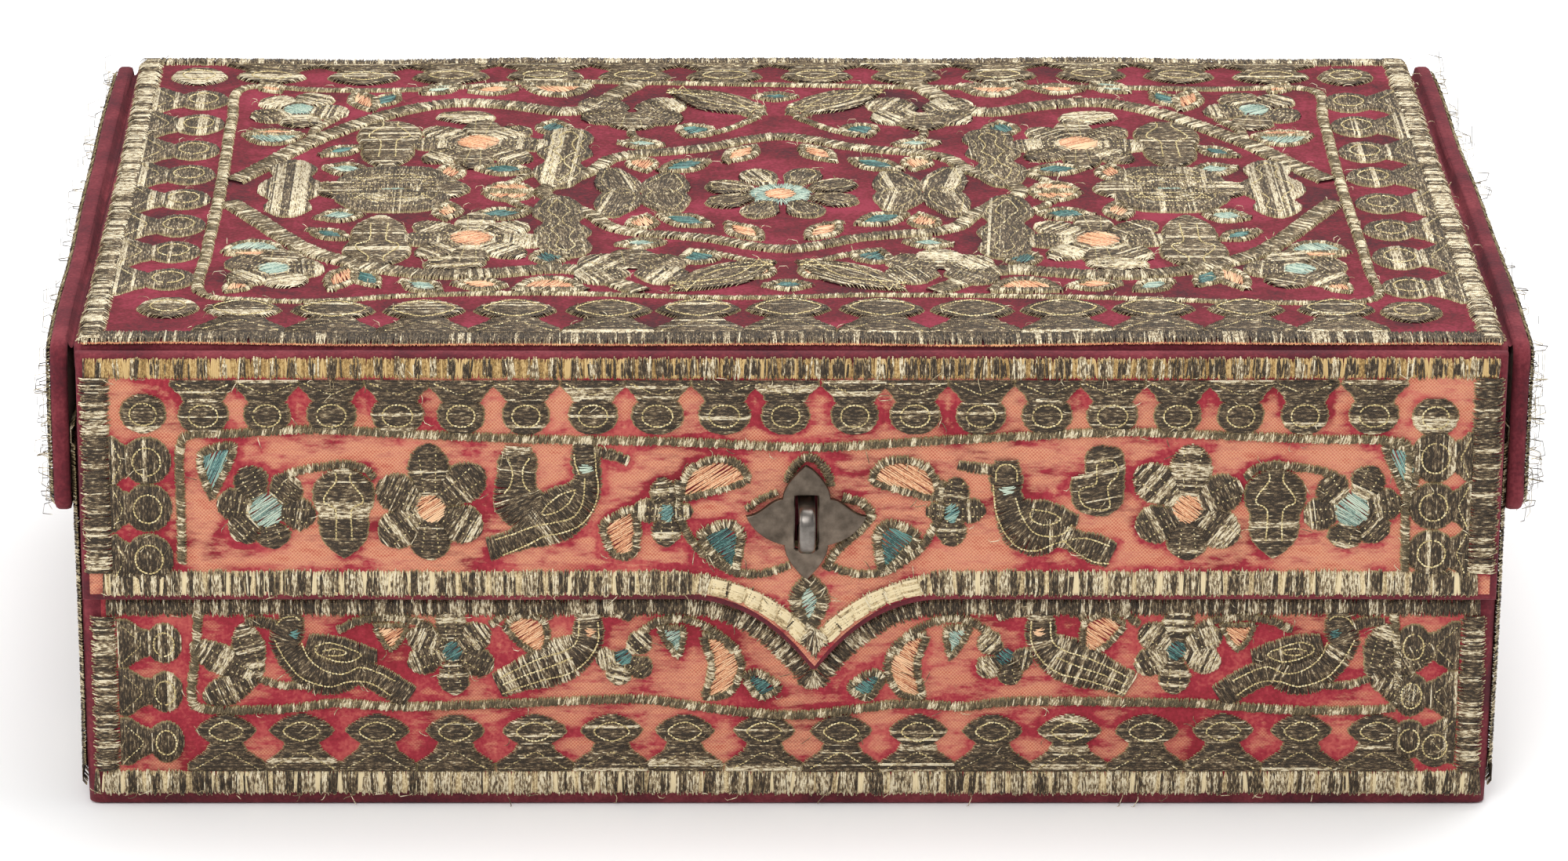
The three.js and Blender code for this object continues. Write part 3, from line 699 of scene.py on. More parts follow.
class Bed:
    """Thread laid on one side of the casket, gathered stitch by stitch and made into meshes."""

    # Faces along a long and a short stitch, the length that parts them, and faces across each
    LONG = 3
    SHORT = 2
    SHORT_BELOW = 1.25
    SIDES = 2
    # Chance that a stitch is as pale or dark as the one before
    KEEP_SHADE = 0.6
    # Usual length of a loose end
    LOOSE = 3.0

    def __init__(self, plane: Plane, seed: int, worn: float = 0.0) -> None:
        """Starts with no stitch on the given side.

        Args:
            plane: The side.
            seed: Start of the random draws.
            worn: How much paler all its metal thread is than elsewhere, as painted sheen.
        """
        self.plane = plane
        self.random = random.Random(seed)
        self.worn = worn
        self.pale = False
        self.rows: list[tuple[float, ...]] = []

    def stitch(self, a: Point, b: Point, lay: Lay, rise: float = 1.0, lift: float = 0.0,
               bend: float = 0.1) -> None:
        """Lays one stitch from a to b.

        Args:
            a: Where it comes up.
            b: Where it goes down.
            lay: How it is laid.
            rise: Share of the lay's crown under this stitch.
            lift: Height of its ends.
            bend: How far its middle may swing to a side.
        """
        pick = self.random
        if pick.random() > self.KEEP_SHADE:
            self.pale = pick.random() < lay.bright
        tone = pick.uniform(0.55, 0.95) if self.pale else pick.uniform(0.0, 0.34)
        # Painted sheen: metal thread on a side with worn set is made paler
        tone += self.worn * (lay.look is Look.METAL)
        length = max(math.hypot(b[0] - a[0], b[1] - a[1]), 0.05)
        run = ((b[0] - a[0]) / length, (b[1] - a[1]) / length)
        start, end = pick.uniform(-lay.stray, lay.stray), pick.uniform(-lay.stray, lay.stray)
        slip = pick.uniform(-lay.cross, lay.cross)
        self.rows.append((
            a[0] + run[0] * start - run[1] * slip, a[1] + run[1] * start + run[0] * slip,
            b[0] + run[0] * end + run[1] * slip, b[1] + run[1] * end - run[0] * slip,
            lay.width * pick.uniform(0.92, 1.12), lift + pick.uniform(-0.05, 0.08), lay.crown * rise,
            lay.ramp, tone, pick.uniform(-bend, bend), LOOKS.index(lay.look), pick.uniform(0, 40),
        ))

    def fill(self, outline: np.ndarray, turn: float, lay: Lay, lift: float = 0.0) -> None:
        """Fills a closed outline with stitches side by side.

        Args:
            outline: Points round the shape.
            turn: Degrees from the right that the stitches run in.
            lay: How they are laid.
            lift: Height of the thread below.
        """
        c, s = math.cos(math.radians(turn)), math.sin(math.radians(turn))
        frame_of = np.array([[c, -s], [s, c]])
        p = outline @ frame_of
        q = np.roll(p, -1, 0)
        low, high = p[:, 1].min(), p[:, 1].max()
        y = low + lay.pitch * 0.6
        while y < high - lay.pitch * 0.3:
            crossed = (p[:, 1] <= y) != (q[:, 1] <= y)
            a, b = p[crossed], q[crossed]
            xs = np.sort(a[:, 0] + (y - a[:, 1]) * (b[:, 0] - a[:, 0]) / (b[:, 1] - a[:, 1]))
            near = min(1.0, min(y - low, high - y) / lay.ramp)
            rise = 0.25 + 0.75 * math.sqrt(1 - (1 - near) ** 2)
            for x0, x1 in zip(xs[::2], xs[1::2]):
                if x1 - x0 > 0.6:
                    ends = np.array([[x0, y], [x1, y]]) @ frame_of.T
                    self.stitch(ends[0], ends[1], lay, rise, lift)
            y += lay.pitch * self.random.uniform(0.92, 1.08)

    def band(self, path: np.ndarray, width: float | tuple[float, ...], lay: Lay, closed: bool = False,
             lean: float = 0.0, bare: object = None) -> None:
        """Covers a band along a path with stitches across it.

        Args:
            path: Points along the middle of the band.
            width: Width of the band, or its widths at even steps along the path.
            lay: How the stitches are laid.
            closed: Whether the path comes back to its start.
            lean: How far each stitch leans along the path.
            bare: Function from a place on the path to the chance that a stitch is lost there.
        """
        line = np.vstack([path, path[:1]]) if closed else path
        length = reached(line)[-1]
        count = max(2, int(length / lay.pitch))
        at = (np.arange(count) + 0.5) * length / count
        tangent = unit(spots_on(line, at + 1.0) - spots_on(line, at - 1.0))
        given = np.atleast_1d(width)
        half = np.interp(at / length, np.linspace(0, 1, len(given)), given) / 2
        for p, n, t, w in zip(spots_on(line, at), left_of(tangent), tangent, half):
            if bare is not None and self.random.random() < bare(p):
                continue
            swing = t * (lean + self.random.gauss(0, 0.14))
            self.stitch(p - n * w - swing, p + n * w + swing, lay)

    def couch(self, path: np.ndarray, closed: bool = False, lay: Lay = COUCHED, lift: float = 1.0,
              part: float = 0.84) -> None:
        """Ties a line of short stitches along a path, on top of laid thread.

        Args:
            path: Points along the line.
            closed: Whether it comes back to its start.
            lay: How the stitches are laid.
            lift: Height of the thread below.
            part: Share of the line that the stitches cover.
        """
        line = np.vstack([path, path[:1]]) if closed else path
        spot = walked(line, lay.pitch)
        for a, b in zip(spot, spot[1:]):
            self.stitch(a, a + (b - a) * part, lay, 1.0, lift)

    def fan(self, at: Point, reach: float, start: float, end: float, lay: Lay, mitred: bool = False) -> None:
        """Spreads stitches from a corner, where two bands meet at an angle.

        Args:
            at: The corner.
            reach: Width of the bands.
            start: Direction of the first stitch in degrees.
            end: Direction of the last one.
            lay: How they are laid.
            mitred: Whether the stitches grow towards a sharp corner, instead of keeping to a round one.
        """
        count = int(math.radians(end - start) * reach * 1.2 / lay.pitch)
        for turn in np.linspace(start, end, count):
            long = reach / math.cos(math.radians(min(turn - start, end - turn))) if mitred else reach
            run = np.array([math.cos(math.radians(turn)), math.sin(math.radians(turn))])
            self.stitch(np.array(at) + run * 0.3, np.array(at) + run * long, lay)

    def fray(self, count: int) -> None:
        """Lets loose ends of broken strip stand off the thread that is there.

        Args:
            count: How many ends.
        """
        for _ in range(count):
            x, y = self.random.choice(self.rows)[:2]
            turn, far = self.random.uniform(0, 2 * math.pi), self.LOOSE * self.random.uniform(0.5, 1.3)
            lay = Lay(width=0.2, crown=self.random.uniform(0.3, 1.1), ramp=1.2, bright=0.75, stray=0.1)
            self.stitch((x, y), (x + far * math.cos(turn), y + far * math.sin(turn)), lay, 1.0, 0.9, 0.9)

    def spots(self) -> np.ndarray:
        """Places on the side that thread covers.

        Returns:
            Five places along each stitch.
        """
        rows = np.array(self.rows)
        t = np.linspace(0, 1, 5)[None, :, None]
        return (rows[:, None, 0:2] * (1 - t) + rows[:, None, 2:4] * t).reshape(-1, 2)

    def template(self, parts: list[tuple[int, int]]) -> bpy.types.Mesh:
        """A mesh of flat stitches, each a small grid.

        Args:
            parts: How many faces long the stitches are, and how many of them there are.

        Returns:
            The mesh, with the stitches in that order.
        """
        bm = bmesh.new()
        for stations, count in parts:
            before = [len(group) for group in (bm.verts, bm.edges, bm.faces)]
            bmesh.ops.create_grid(bm, x_segments=stations, y_segments=self.SIDES, size=1.0)
            each = [len(group) - n for group, n in zip((bm.verts, bm.edges, bm.faces), before)]
            made = 1
            while made < count:
                more = min(made, count - made)
                geometry = []
                for group, start, size in zip((bm.verts, bm.edges, bm.faces), before, each):
                    group.ensure_lookup_table()
                    geometry += group[start:start + more * size]
                bmesh.ops.duplicate(bm, geom=geometry)
                made += more
        mesh = bpy.data.meshes.new("stitches")
        bm.to_mesh(mesh)
        bm.free()
        return mesh

    def shaped(self, flat: np.ndarray, rows: np.ndarray, stations: int) -> tuple[np.ndarray, ...]:
        """Bends flat stitches into laid ones.

        Args:
            flat: Corners of the small grids.
            rows: What is known of each stitch.
            stations: How many faces long each is.

        Returns:
            Places in metres, places along the thread, and tones.
        """
        station = np.rint((flat[..., 0] + 1) / 2 * stations).astype(int)
        side = flat[..., 1]
        a, b = rows[:, None, 0:2], rows[:, None, 2:4]
        width, lift, crown, ramp, tone, bend, _, phase = (rows[:, i, None] for i in range(4, 12))
        length = np.maximum(np.linalg.norm(b - a, axis=2), 0.05)
        early = np.minimum(0.3, 0.45 * ramp / length)
        start = 0 * early
        shares = [early, 1 - early] if stations == self.LONG else [start + 0.5]
        share = np.choose(station, [start, *shares, start + 1])
        near = np.minimum(share, 1 - share) * length
        rise = np.sqrt(1 - (1 - np.clip(near / ramp, 0, 1)) ** 2)
        run = (b - a) / length[..., None]
        taper = np.where((station == 0) | (station == stations), 0.6, 1.0)
        offset = bend * 4 * share * (1 - share) + side * width / 2 * taper
        spot = a + (b - a) * share[..., None] + left_of(run) * offset[..., None]
        height = lift + crown * rise + 0.42 * width * (1 - np.abs(side)) - 0.08
        across = np.broadcast_to(side * 0.5 + phase * 3, share.shape)
        thread = np.stack([share * length + phase, across, near], -1)
        place = self.plane.place(spot[..., 0], spot[..., 1], height)
        return place, thread, np.broadcast_to(tone, share.shape)

    def build(self, name: str) -> bpy.types.Object:
        """Makes the stitches into one mesh.

        Args:
            name: Name of the piece.

        Returns:
            The piece, with each stitch's tone and place along its thread as attributes.
        """
        rows = np.array(self.rows)
        brief = np.linalg.norm(rows[:, 2:4] - rows[:, 0:2], axis=1) < self.SHORT_BELOW
        kinds = ((self.LONG, rows[~brief]), (self.SHORT, rows[brief]))
        parts = [(stations, part) for stations, part in kinds if len(part)]
        mesh = self.template([(stations, len(part)) for stations, part in parts])
        flat = np.empty(len(mesh.vertices) * 3, np.float32)
        mesh.vertices.foreach_get("co", flat)
        flat = flat.reshape(-1, 3)
        made, start = [], 0
        for stations, part in parts:
            corners = (stations + 1) * (self.SIDES + 1)
            end = start + corners * len(part)
            made.append(self.shaped(flat[start:end].reshape(len(part), corners, 3), part, stations))
            start = end
        place, thread, tone = (np.concatenate([piece[i].reshape(-1) for piece in made]).astype(np.float32)
                               for i in range(3))
        mesh.vertices.foreach_set("co", place)
        mesh.attributes.new("thread", "FLOAT_VECTOR", "POINT").data.foreach_set("vector", thread)
        mesh.attributes.new("tone", "FLOAT", "POINT").data.foreach_set("value", tone)
        for each_look in LOOKS:
            mesh.materials.append(each_look.material)
        slots = np.concatenate([np.repeat(part[:, 10], stations * self.SIDES) for stations, part in parts])
        mesh.polygons.foreach_set("material_index", slots.astype(np.int32))
        mesh.update()
        return new_object(name, mesh, None)


# Motifs


class Needle:
    """Draws the casket's motifs on a bed of thread, some of them mirrored."""

    def __init__(self, bed: Bed, mirror: float | None = None, rows: object = None,
                 scale: float = 1.0) -> None:
        """Works on a bed.

        Args:
            bed: Where the thread goes.
            mirror: Upright line that every motif is mirrored about, if it is.
            rows: Function that moves a motif up or down, for a side that isn't the same at top and bottom.
            scale: How much larger than their measure single motifs are drawn.
        """
        self.bed = bed
        self.mirror = mirror
        self.rows = rows
        self.upside = rows is not None and rows(-1.0) > 0
        self.scale = scale

    def _at(self, at: Point) -> Point:
        """Where a motif's place lies on this half.

        Args:
            at: The place as it is drawn.

        Returns:
            The place as it lies on this half.
        """
        x, y = at
        if self.mirror is not None:
            x = 2 * self.mirror - x
        return (x, self.rows(y)) if self.rows else (x, y)

    def shape(self, outline: np.ndarray, at: Point, turn: float = 0.0) -> np.ndarray:
        """An outline in its place, turned, and mirrored with everything else.

        Args:
            outline: Points of the outline.
            at: Its place.
            turn: Its turn in degrees.

        Returns:
            The points on this half.
        """
        turned = turned_by(outline, turn) * self.scale
        if self.upside:
            turned = turned[::-1] * (1, -1)
        if self.mirror is not None:
            turned = turned[::-1] * (-1, 1)
        return turned + self._at(at)

    def angle(self, turn: float) -> float:
        """A direction as it lies on this half."""
        turn = -turn if self.upside else turn
        return 180 - turn if self.mirror is not None else turn

    def path(self, points: list[Point], closed: bool = False) -> np.ndarray:
        """A smooth line on this half."""
        return curve([self._at(p) for p in points], closed)

    def stem(self, points: list[Point], width: float = 2.3, lay: Lay = STEM) -> None:
        """A stem or frame: stitches across a line."""
        self.bed.band(self.path(points), width, lay, lean=0.2)

    def petal(self, at: Point, length: float, width: float, turn: float, lay: Lay = SATIN) -> None:
        """A petal from its base outwards, stitched across, with two rows of ties along it.

        Args:
            at: Its base.
            length: Its length.
            width: Its greatest width.
            turn: Direction from its base.
            lay: How its thread is laid.
        """
        self.bed.fill(self.shape(spindle(length, width, PETAL), at, turn), self.angle(turn + 90), lay)
        for side in (-0.2, 0.22):
            row = np.array([(length * 0.12, side * width * 0.6), (length * 0.92, side * width)])
            self.bed.couch(self.shape(row, at, turn), lay=DOTTED, lift=lay.crown * 0.95, part=0.34)

    def blossom(self, at: Point, ends: list[Point], core: Look | None, core_radius: float = 3.5,
                lay: Lay = SATIN, share: float = 1.0) -> None:
        """A flower: petals round a core of silk.

        Args:
            at: Its middle.
            ends: Tips of its petals.
            core: Silk of the core, if it has one.
            core_radius: The core's radius.
            lay: How the petals' thread is laid.
            share: Width of a petal as a share of the room for it.
        """
        middle = np.array(at)
        reaches = [np.array(end) - middle for end in ends]
        far = sum(np.linalg.norm(reach) for reach in reaches) / len(reaches)
        width = share * 2 * math.pi * far * 0.68 / max(5, len(ends))
        for reach in reaches:
            length = float(np.linalg.norm(reach))
            base = middle + reach / length * core_radius * 0.75
            pale = paler(lay, min(0.6, max(0.04, lay.bright + self.bed.random.uniform(-0.3, 0.3))))
            turn = math.degrees(math.atan2(reach[1], reach[0]))
            self.petal(base, length - core_radius * 0.75, width, turn, pale)
        if core is not None:
            outline = self.shape(oval(core_radius * 2, core_radius * 2.1), at)
            self.bed.fill(outline, self.angle(35), SILKS[core], 0.35)

    def flower(self, at: Point, radius: float, petals: int, core: Look | None, core_radius: float = 3.5,
               start: float = 90.0, lay: Lay = SATIN) -> None:
        """A flower whose petals are spread evenly.

        Args:
            at: Its middle.
            radius: To the petals' tips.
            petals: How many.
            core: Silk of the core.
            core_radius: The core's radius.
            start: Direction of the first petal.
            lay: How the petals' thread is laid.
        """
        ends = []
        for i in range(petals):
            turn = math.radians(start + i * 360 / petals + self.bed.random.uniform(-4, 4))
            far = radius * self.bed.random.uniform(0.93, 1.05)
            ends.append((at[0] + far * math.cos(turn), at[1] + far * math.sin(turn)))
        self.blossom(at, ends, core, core_radius, lay)

    def silk(self, points: list[Point], silk: Look, rim: float = 2.3, turn: float = 35.0) -> None:
        """A patch of silk inside a rim of metal thread.

        Args:
            points: Points round the rim's outside.
            silk: The patch's silk.
            rim: Width of the rim.
            turn: Direction of the silk's stitches.
        """
        outline = self.path(points, closed=True)
        after = np.roll(outline, -1, 0)
        if np.sum(outline[:, 0] * after[:, 1] - outline[:, 1] * after[:, 0]) < 0:
            outline = outline[::-1]
        self.bed.fill(shrunk(outline, rim * 0.72), self.angle(turn), SILKS[silk])
        self.bed.band(shrunk(outline, rim * 0.45), rim, STEM, closed=True)

    def leaf(self, at: Point, length: float, width: float, turn: float, silk: Look, shares: tuple = LEAF,
             rim: float = 2.3) -> None:
        """A silk leaf inside a rim of metal thread.

        Args:
            at: Its middle.
            length: Its length.
            width: Its greatest width.
            turn: Direction of its length.
            silk: Its silk.
            shares: Widths along it.
            rim: Width of the rim.
        """
        outline = self.shape(spindle(length, width, shares) - (length / 2, 0), at, turn)
        self.bed.fill(shrunk(outline, rim * 0.9), self.angle(turn + 25), SILKS[silk])
        self.bed.band(shrunk(outline, rim * 0.42), rim, STEM, closed=True)

    def half_moon(self, at: Point, length: float, width: float, turn: float, silk: Look,
                  rim: float = 2.0) -> None:
        """A half-round of silk inside a rim of metal thread. Its flat side faces down before the turn.

        Args:
            at: Its middle.
            length: Length of its flat side.
            width: Its height over that side.
            turn: Its turn in degrees.
            silk: Its silk.
            rim: Width of the rim.
        """
        t = np.linspace(0, math.pi, 14)
        outline = np.stack([length / 2 * np.cos(t), width * np.sin(t) - width * 0.42], 1)
        outline = self.shape(curve(outline, closed=True), at, turn)
        self.bed.fill(shrunk(outline, rim * 0.85), self.angle(turn + 60), SILKS[silk])
        self.bed.band(shrunk(outline, rim / 2), rim, STEM, closed=True)

    def plume(self, at: Point, length: float, width: float, turn: float, shares: tuple = LEAF,
              lay: Lay = LAID, rings: tuple[float, ...] = (0.2, 0.55)) -> None:
        """A large leaf of thread laid lengthwise, with tied lines that follow its outline.

        Args:
            at: Its middle.
            length: Its length.
            width: Its greatest width.
            turn: Direction of its length.
            shares: Widths along it.
            lay: How the thread is laid.
            rings: Insets of the tied lines, as shares of half the width.
        """
        outline = self.shape(spindle(length, width, shares) - (length / 2, 0), at, turn)
        self.bed.fill(outline, self.angle(turn), lay)
        for ring in rings:
            self.bed.couch(shrunk(outline, ring * width / 2), closed=True,
                           lift=lay.crown * (0.7 + 0.3 * ring))

    def tulip(self, at: Point, length: float, width: float, turn: float) -> None:
        """A flower seen from its side, stitched across, with a tied line that follows its head and its foot.

        Args:
            at: Its middle.
            length: Its length.
            width: Its greatest width.
            turn: Direction from its head to its foot.
        """
        outline = spindle(length, width, TULIP) - (length / 2, 0)
        self.bed.fill(self.shape(outline, at, turn), self.angle(turn + 90), LAID)
        for side in (-1, 1):
            line = curve([((x - 0.5) * length, side * y * width) for x, y in TULIP_LINE])
            self.bed.couch(self.shape(line, at, turn), lift=LAID.crown)

    def lobe(self, at: Point, width: float, height: float, fullness: float, turn: float = 0.0,
             lay: Lay = LAID, ring: float = 0.57) -> None:
        """A lobe of a border row: laid thread with a tied ring.

        Args:
            at: Its middle.
            width: Its width.
            height: Its height.
            fullness: How square it is.
            turn: Its turn in degrees.
            lay: How its thread is laid.
            ring: Size of the ring as a share of the lobe.
        """
        outline = self.shape(oval(width, height, fullness), at, turn)
        self.bed.fill(outline, self.angle(turn), lay)
        inner = self.shape(oval(width * ring, height * ring, fullness), at, turn)
        self.bed.couch(inner, closed=True, lift=lay.crown)

    def hood(self, at: Point, width: float, height: float, turn: float, neck: float) -> None:
        """A gable that joins a lobe to the binding, and rises to +Y.

        Args:
            at: Middle of its foot.
            width: Its width at the foot, where it meets its neighbours.
            height: Its height.
            turn: Direction of its foot.
            neck: Width at its top, as a share.
        """
        half = width / 2
        side = [(half, -0.4), (half, height * 0.26), (half * (neck + 0.12), height * 0.78),
                (half * neck, height + 1.0)]
        outline = np.array(side + [(-x, y) for x, y in side[::-1]])
        self.bed.fill(self.shape(outline, at, turn), self.angle(turn), LAID)
        arch = np.array([(half * 0.8, 0.4), (half * 0.42, height * 0.4), (0, height * 0.75),
                         (-half * 0.42, height * 0.4), (-half * 0.8, 0.4)])
        self.bed.couch(self.shape(curve(arch), at, turn), lift=LAID.crown * 0.8)

    def row(self, start: Point, end: Point, count: int, lobe: Point, hood: float, fullness: float = 2.0,
            neck: float = 0.5, ring: float = 0.57) -> None:
        """A border row of lobes with their hoods, inwards to the left of the line from start to end.

        Args:
            start: Middle of the first hood's foot.
            end: Middle of the last hood's foot.
            count: How many lobes.
            lobe: Width and height of a lobe.
            hood: Height of a hood.
            fullness: Shape of a lobe.
            neck: Width of a hood at its top, as a share.
            ring: Size of a lobe's tied ring, as a share.
        """
        a, b = np.array(start, float), np.array(end, float)
        run = (b - a) / np.linalg.norm(b - a)
        inward = np.array([-run[1], run[0]])
        turn = math.degrees(math.atan2(run[1], run[0]))
        gap = np.linalg.norm(b - a) / max(1, count - 1)
        for i in range(count):
            foot = a + (b - a) * (i / max(1, count - 1)) + run * self.bed.random.uniform(-0.6, 0.6)
            self.hood(foot, gap * 1.04, hood, turn, neck)
            width = lobe[0] * self.bed.random.uniform(0.94, 1.06)
            self.lobe(foot + inward * (hood + lobe[1] * 0.44), width, lobe[1], fullness, turn, ring=ring)

    def bird(self, at: Point, build: "Bird", right: bool = True, lay: Lay = LAID,
             eye: Look = Look.SKY) -> None:
        """A bird, stitched across its spine, with tied lines over it.

        Args:
            at: Middle of its head.
            build: Its parts.
            right: Whether it faces right on the left half.
            lay: How the thread is laid.
            eye: Silk of its eye.
        """
        s = -1 if right else 1

        def line(points: tuple[Point, ...]) -> np.ndarray:
            """A smooth line given about the head, on the side that the bird faces."""
            return self.path([(at[0] + s * x, at[1] + y) for x, y in points])

        for spine, girth in (build.beak, build.wing, build.body):
            self.bed.band(line(spine), girth, lay)
        for points in build.lines:
            self.bed.couch(line(points), lift=lay.crown)
        spot = (at[0] + s * build.eye[0], at[1] + build.eye[1])
        self.bed.fill(self.shape(oval(*build.eye_size), spot), 0, SILKS[eye], 0.85)


@dataclass(frozen=True)
class Bird:
    """A bird that faces left, measured from the middle of its head.

    Its parts are lines with widths along them, and the tied lines over them are plain lines.
    """

    body: tuple
    wing: tuple
    beak: tuple
    lines: tuple
    eye: Point
    eye_size: Point = (2.7, 2.4)


PERCHED = Bird(
    body=(((0.1, 3.0), (0.1, 0), (-0.5, -3.9), (-0.6, -7.9), (1.8, -12.0), (5.4, -15.2), (9.6, -18.6),
           (14.6, -21.8), (19.2, -23.8), (24.4, -25.7)),
          (5.5, 7.8, 7.0, 9.8, 13.6, 14.6, 11.5, 7.2, 6.2, 6.8)),
    wing=(((16.9, 2.2), (16.9, -2.5), (17.3, -6.8), (17.3, -10.9), (15.2, -15.4), (11.5, -18.6)),
          (6.5, 10.6, 10.0, 11.0, 13.4, 11.5, 9.0)),
    beak=(((-2.2, 0.8), (-7.0, -0.3), (-11.0, -2.0)), (3.2, 3.2, 2.8)),
    lines=(
        ((2.3, -9.3), (6.3, -10.7), (9.9, -13.9), (10.9, -16.1), (7.3, -15.4), (4.0, -12.9), (2.3, -9.3)),
        ((0, -6.1), (0.5, -12.5), (2.7, -16.6), (7.3, -18.1), (12.6, -19.1), (18.2, -21.3), (22.9, -22.9)),
        ((-2.6, 0.7), (-2.9, -4.6), (-3.4, -9.5), (-2.2, -14.4), (0.9, -18.7), (6, -21.1), (9.9, -21.8),
         (15.3, -24.6), (21.2, -27.2)),
        ((2.7, 0.4), (2.2, -3.2), (1.2, -5.4)),
        ((19.2, -0.9), (18.2, -4.6), (18.6, -7.9), (20.6, -10.6)),
        ((13.9, -0.7), (15.6, -3.9), (15.3, -7.9), (13.1, -10.4)),
    ),
    eye=(-0.2, -3.6), eye_size=(3.8, 2.4),
)
ROOSTING = Bird(
    body=(((-0.1, 4.2), (0, 0), (0.4, -4.9), (2.1, -9.9), (5.2, -14.1), (9.2, -15.9), (13.8, -15.9),
           (17.7, -17.7), (22.4, -19.6), (27, -21.6)),
          (6.0, 9.0, 7.2, 10.0, 13.6, 13.2, 7.0, 6.5, 8.6, 7.4)),
    wing=(((4.4, -8.5), (9.7, -9.9), (14.3, -11.4), (18.3, -12.1)), (4.5, 7.0, 6.5, 3.5)),
    beak=(((-3.3, 1.4), (-7.6, 2), (-12.2, 2.8)), (3.2, 3.3, 2.8)),
    lines=(
        ((6.4, -8.8), (11, -9.5), (14, -11.6), (9.8, -13.1), (6.4, -11.3), (6.4, -8.8)),
        ((2.4, -5.6), (4.1, -10.6), (7.8, -15.5), (13.8, -15.9), (17, -12.7)),
        ((-3.3, -2.1), (-2.5, -9.2), (0, -15.5), (4, -19.6), (8.6, -20), (11.8, -18.4), (19.7, -16.6),
         (27, -18.9)),
        ((14.4, -16.9), (18.5, -20.8), (22.5, -23), (26.8, -23.6)),
        ((-2.6, -1.4), (-2.4, 2.2), (0, 3.4), (2.4, 2.2), (2.7, -1.4)),
    ),
    eye=(0.3, -3.6), eye_size=(3.8, 2.4),
)
STANDING = Bird(
    body=(((0.1, 4.1), (0, 0), (-1.8, -4.4), (1.1, -9.5), (6, -13.3), (11.6, -14.3), (16.7, -12.6),
           (21.7, -14.3), (26, -17), (30, -19.6)),
          (5.4, 8.8, 7.4, 8.4, 10.6, 9.6, 7.4, 7.6, 7.8, 7.2)),
    wing=(((4, -4.6), (9, -6.2), (13.7, -7.4), (18, -7.9), (22, -8.3)), (5.5, 8.4, 8.8, 7.2, 3.8)),
    beak=(((-3.9, 0.3), (-8.1, 1.4), (-11.6, 1.2)), (3.4, 3.4, 2.6)),
    lines=(
        ((6.3, -5.1), (10, -4.1), (15, -5.8), (18.1, -7.5), (14.4, -9.5), (10, -8.8), (6.3, -6.8),
         (6.3, -5.1)),
        ((8.1, -6.5), (11.3, -5.8), (14.4, -6.8), (11.9, -7.8), (8.8, -7.5)),
        ((2.8, -4.1), (4.4, -8.2), (8.1, -11.6), (13.1, -12.9), (17.5, -10.9), (21.9, -12.2), (26.9, -14.9)),
        ((-4.1, -3.4), (-1.4, -9.0), (2.8, -14.0), (9.6, -16.4), (14.9, -14.9), (20.3, -15.4),
         (26.0, -19.2)),
        ((-3.6, 0.7), (-1.9, 2.7), (1.3, 3.1), (3.1, 1.4)),
    ),
    eye=(0.9, -1.7),
)
STRIPED = Bird(
    body=(((0.3, 4.6), (0, 0), (0.6, -5.8), (4, -9.4), (10, -11.6), (15.9, -13.7), (23.3, -17)),
          (5.5, 8.4, 8.0, 11.5, 11.8, 8.8, 7.6)),
    wing=(((3.0, -4.6), (8.0, -6.4), (13.0, -9.6)), (4.0, 5.6, 3.0)),
    beak=(((-3.4, 3.2), (-6.7, 3.5), (-11.0, 1.8)), (3.4, 3.6, 3.2)),
    lines=(
        ((-2.4, 1.0), (-2.4, -4.5), (0.2, -9.6), (5.0, -13.4), (11.0, -15.0), (17.0, -17.0), (22.4, -19.2)),
        ((2.4, 1.0), (3.0, -4.5), (6.4, -7.2), (11.6, -8.9), (17.4, -11.6), (23.4, -15.0)),
        ((4.2, -9.0), (10, -11.6), (15.9, -13.7), (22.4, -16.6)),
    ),
    eye=(-0.3, -1.9),
)


def ground(name: str, plane: Plane, low: object, high: object, span: Point, bed: Bed, cell: float,
           look: Look, left: tuple[float, ...] = (0.0, 0.0)) -> bpy.types.Object:
    """Velvet inside a panel, whose pile is left longest here and there beside the thread.

    Args:
        name: Name of the piece.
        plane: Side that it lies on.
        low: Function from u to the lower edge.
        high: Function from u to the upper edge.
        span: Left and right end.
        bed: Thread on it.
        cell: Size of a face.
        look: Finish.
        left: How much pile is left away from the thread, at even steps from the left end to the right.

    Returns:
        The piece.
    """
    covered = bed.spots()
    tree = kdtree.KDTree(len(covered))
    for i, (x, y) in enumerate(covered):
        tree.insert((x, y, 0), i)
    tree.balance()
    middle = (span[0] + span[1]) / 2
    columns = int((span[1] - span[0]) / cell)
    rows = int((high(middle) - low(middle)) / cell)
    pile: list[float] = []

    def spots(s: np.ndarray, t: np.ndarray) -> np.ndarray:
        """The sheet, and how far each of its points is from thread.

        Args:
            s: Shares of the grid in its first direction.
            t: Shares of the grid in its second direction.

        Returns:
            Their places in metres.
        """
        u = span[0] + s * (span[1] - span[0])
        lower = np.array([low(x) for x in u])
        upper = np.array([high(x) for x in u])
        v = lower + t * (upper - lower)
        near = np.array([tree.find((x, y, 0))[2] for x, y in zip(u, v)])
        patch = 0.5 + 0.5 * np.sin(u / 7.3 + 2 * np.sin(v / 9.1)) * np.cos(v / 6.7 + 1.7 * np.sin(u / 11.9))
        halo = np.clip(1 - (near - 0.4) / 1.8, 0, 1) * np.clip(2.2 * patch - 0.75, 0.1, 1)
        pile.extend(0.75 * halo + np.interp(s, np.linspace(0, 1, len(left)), left) * (0.4 + 1.2 * patch))
        return plane.place(u, v, np.full_like(u, 0.05))

    return nap(bent_grid(name, columns, rows, spots, look), pile)


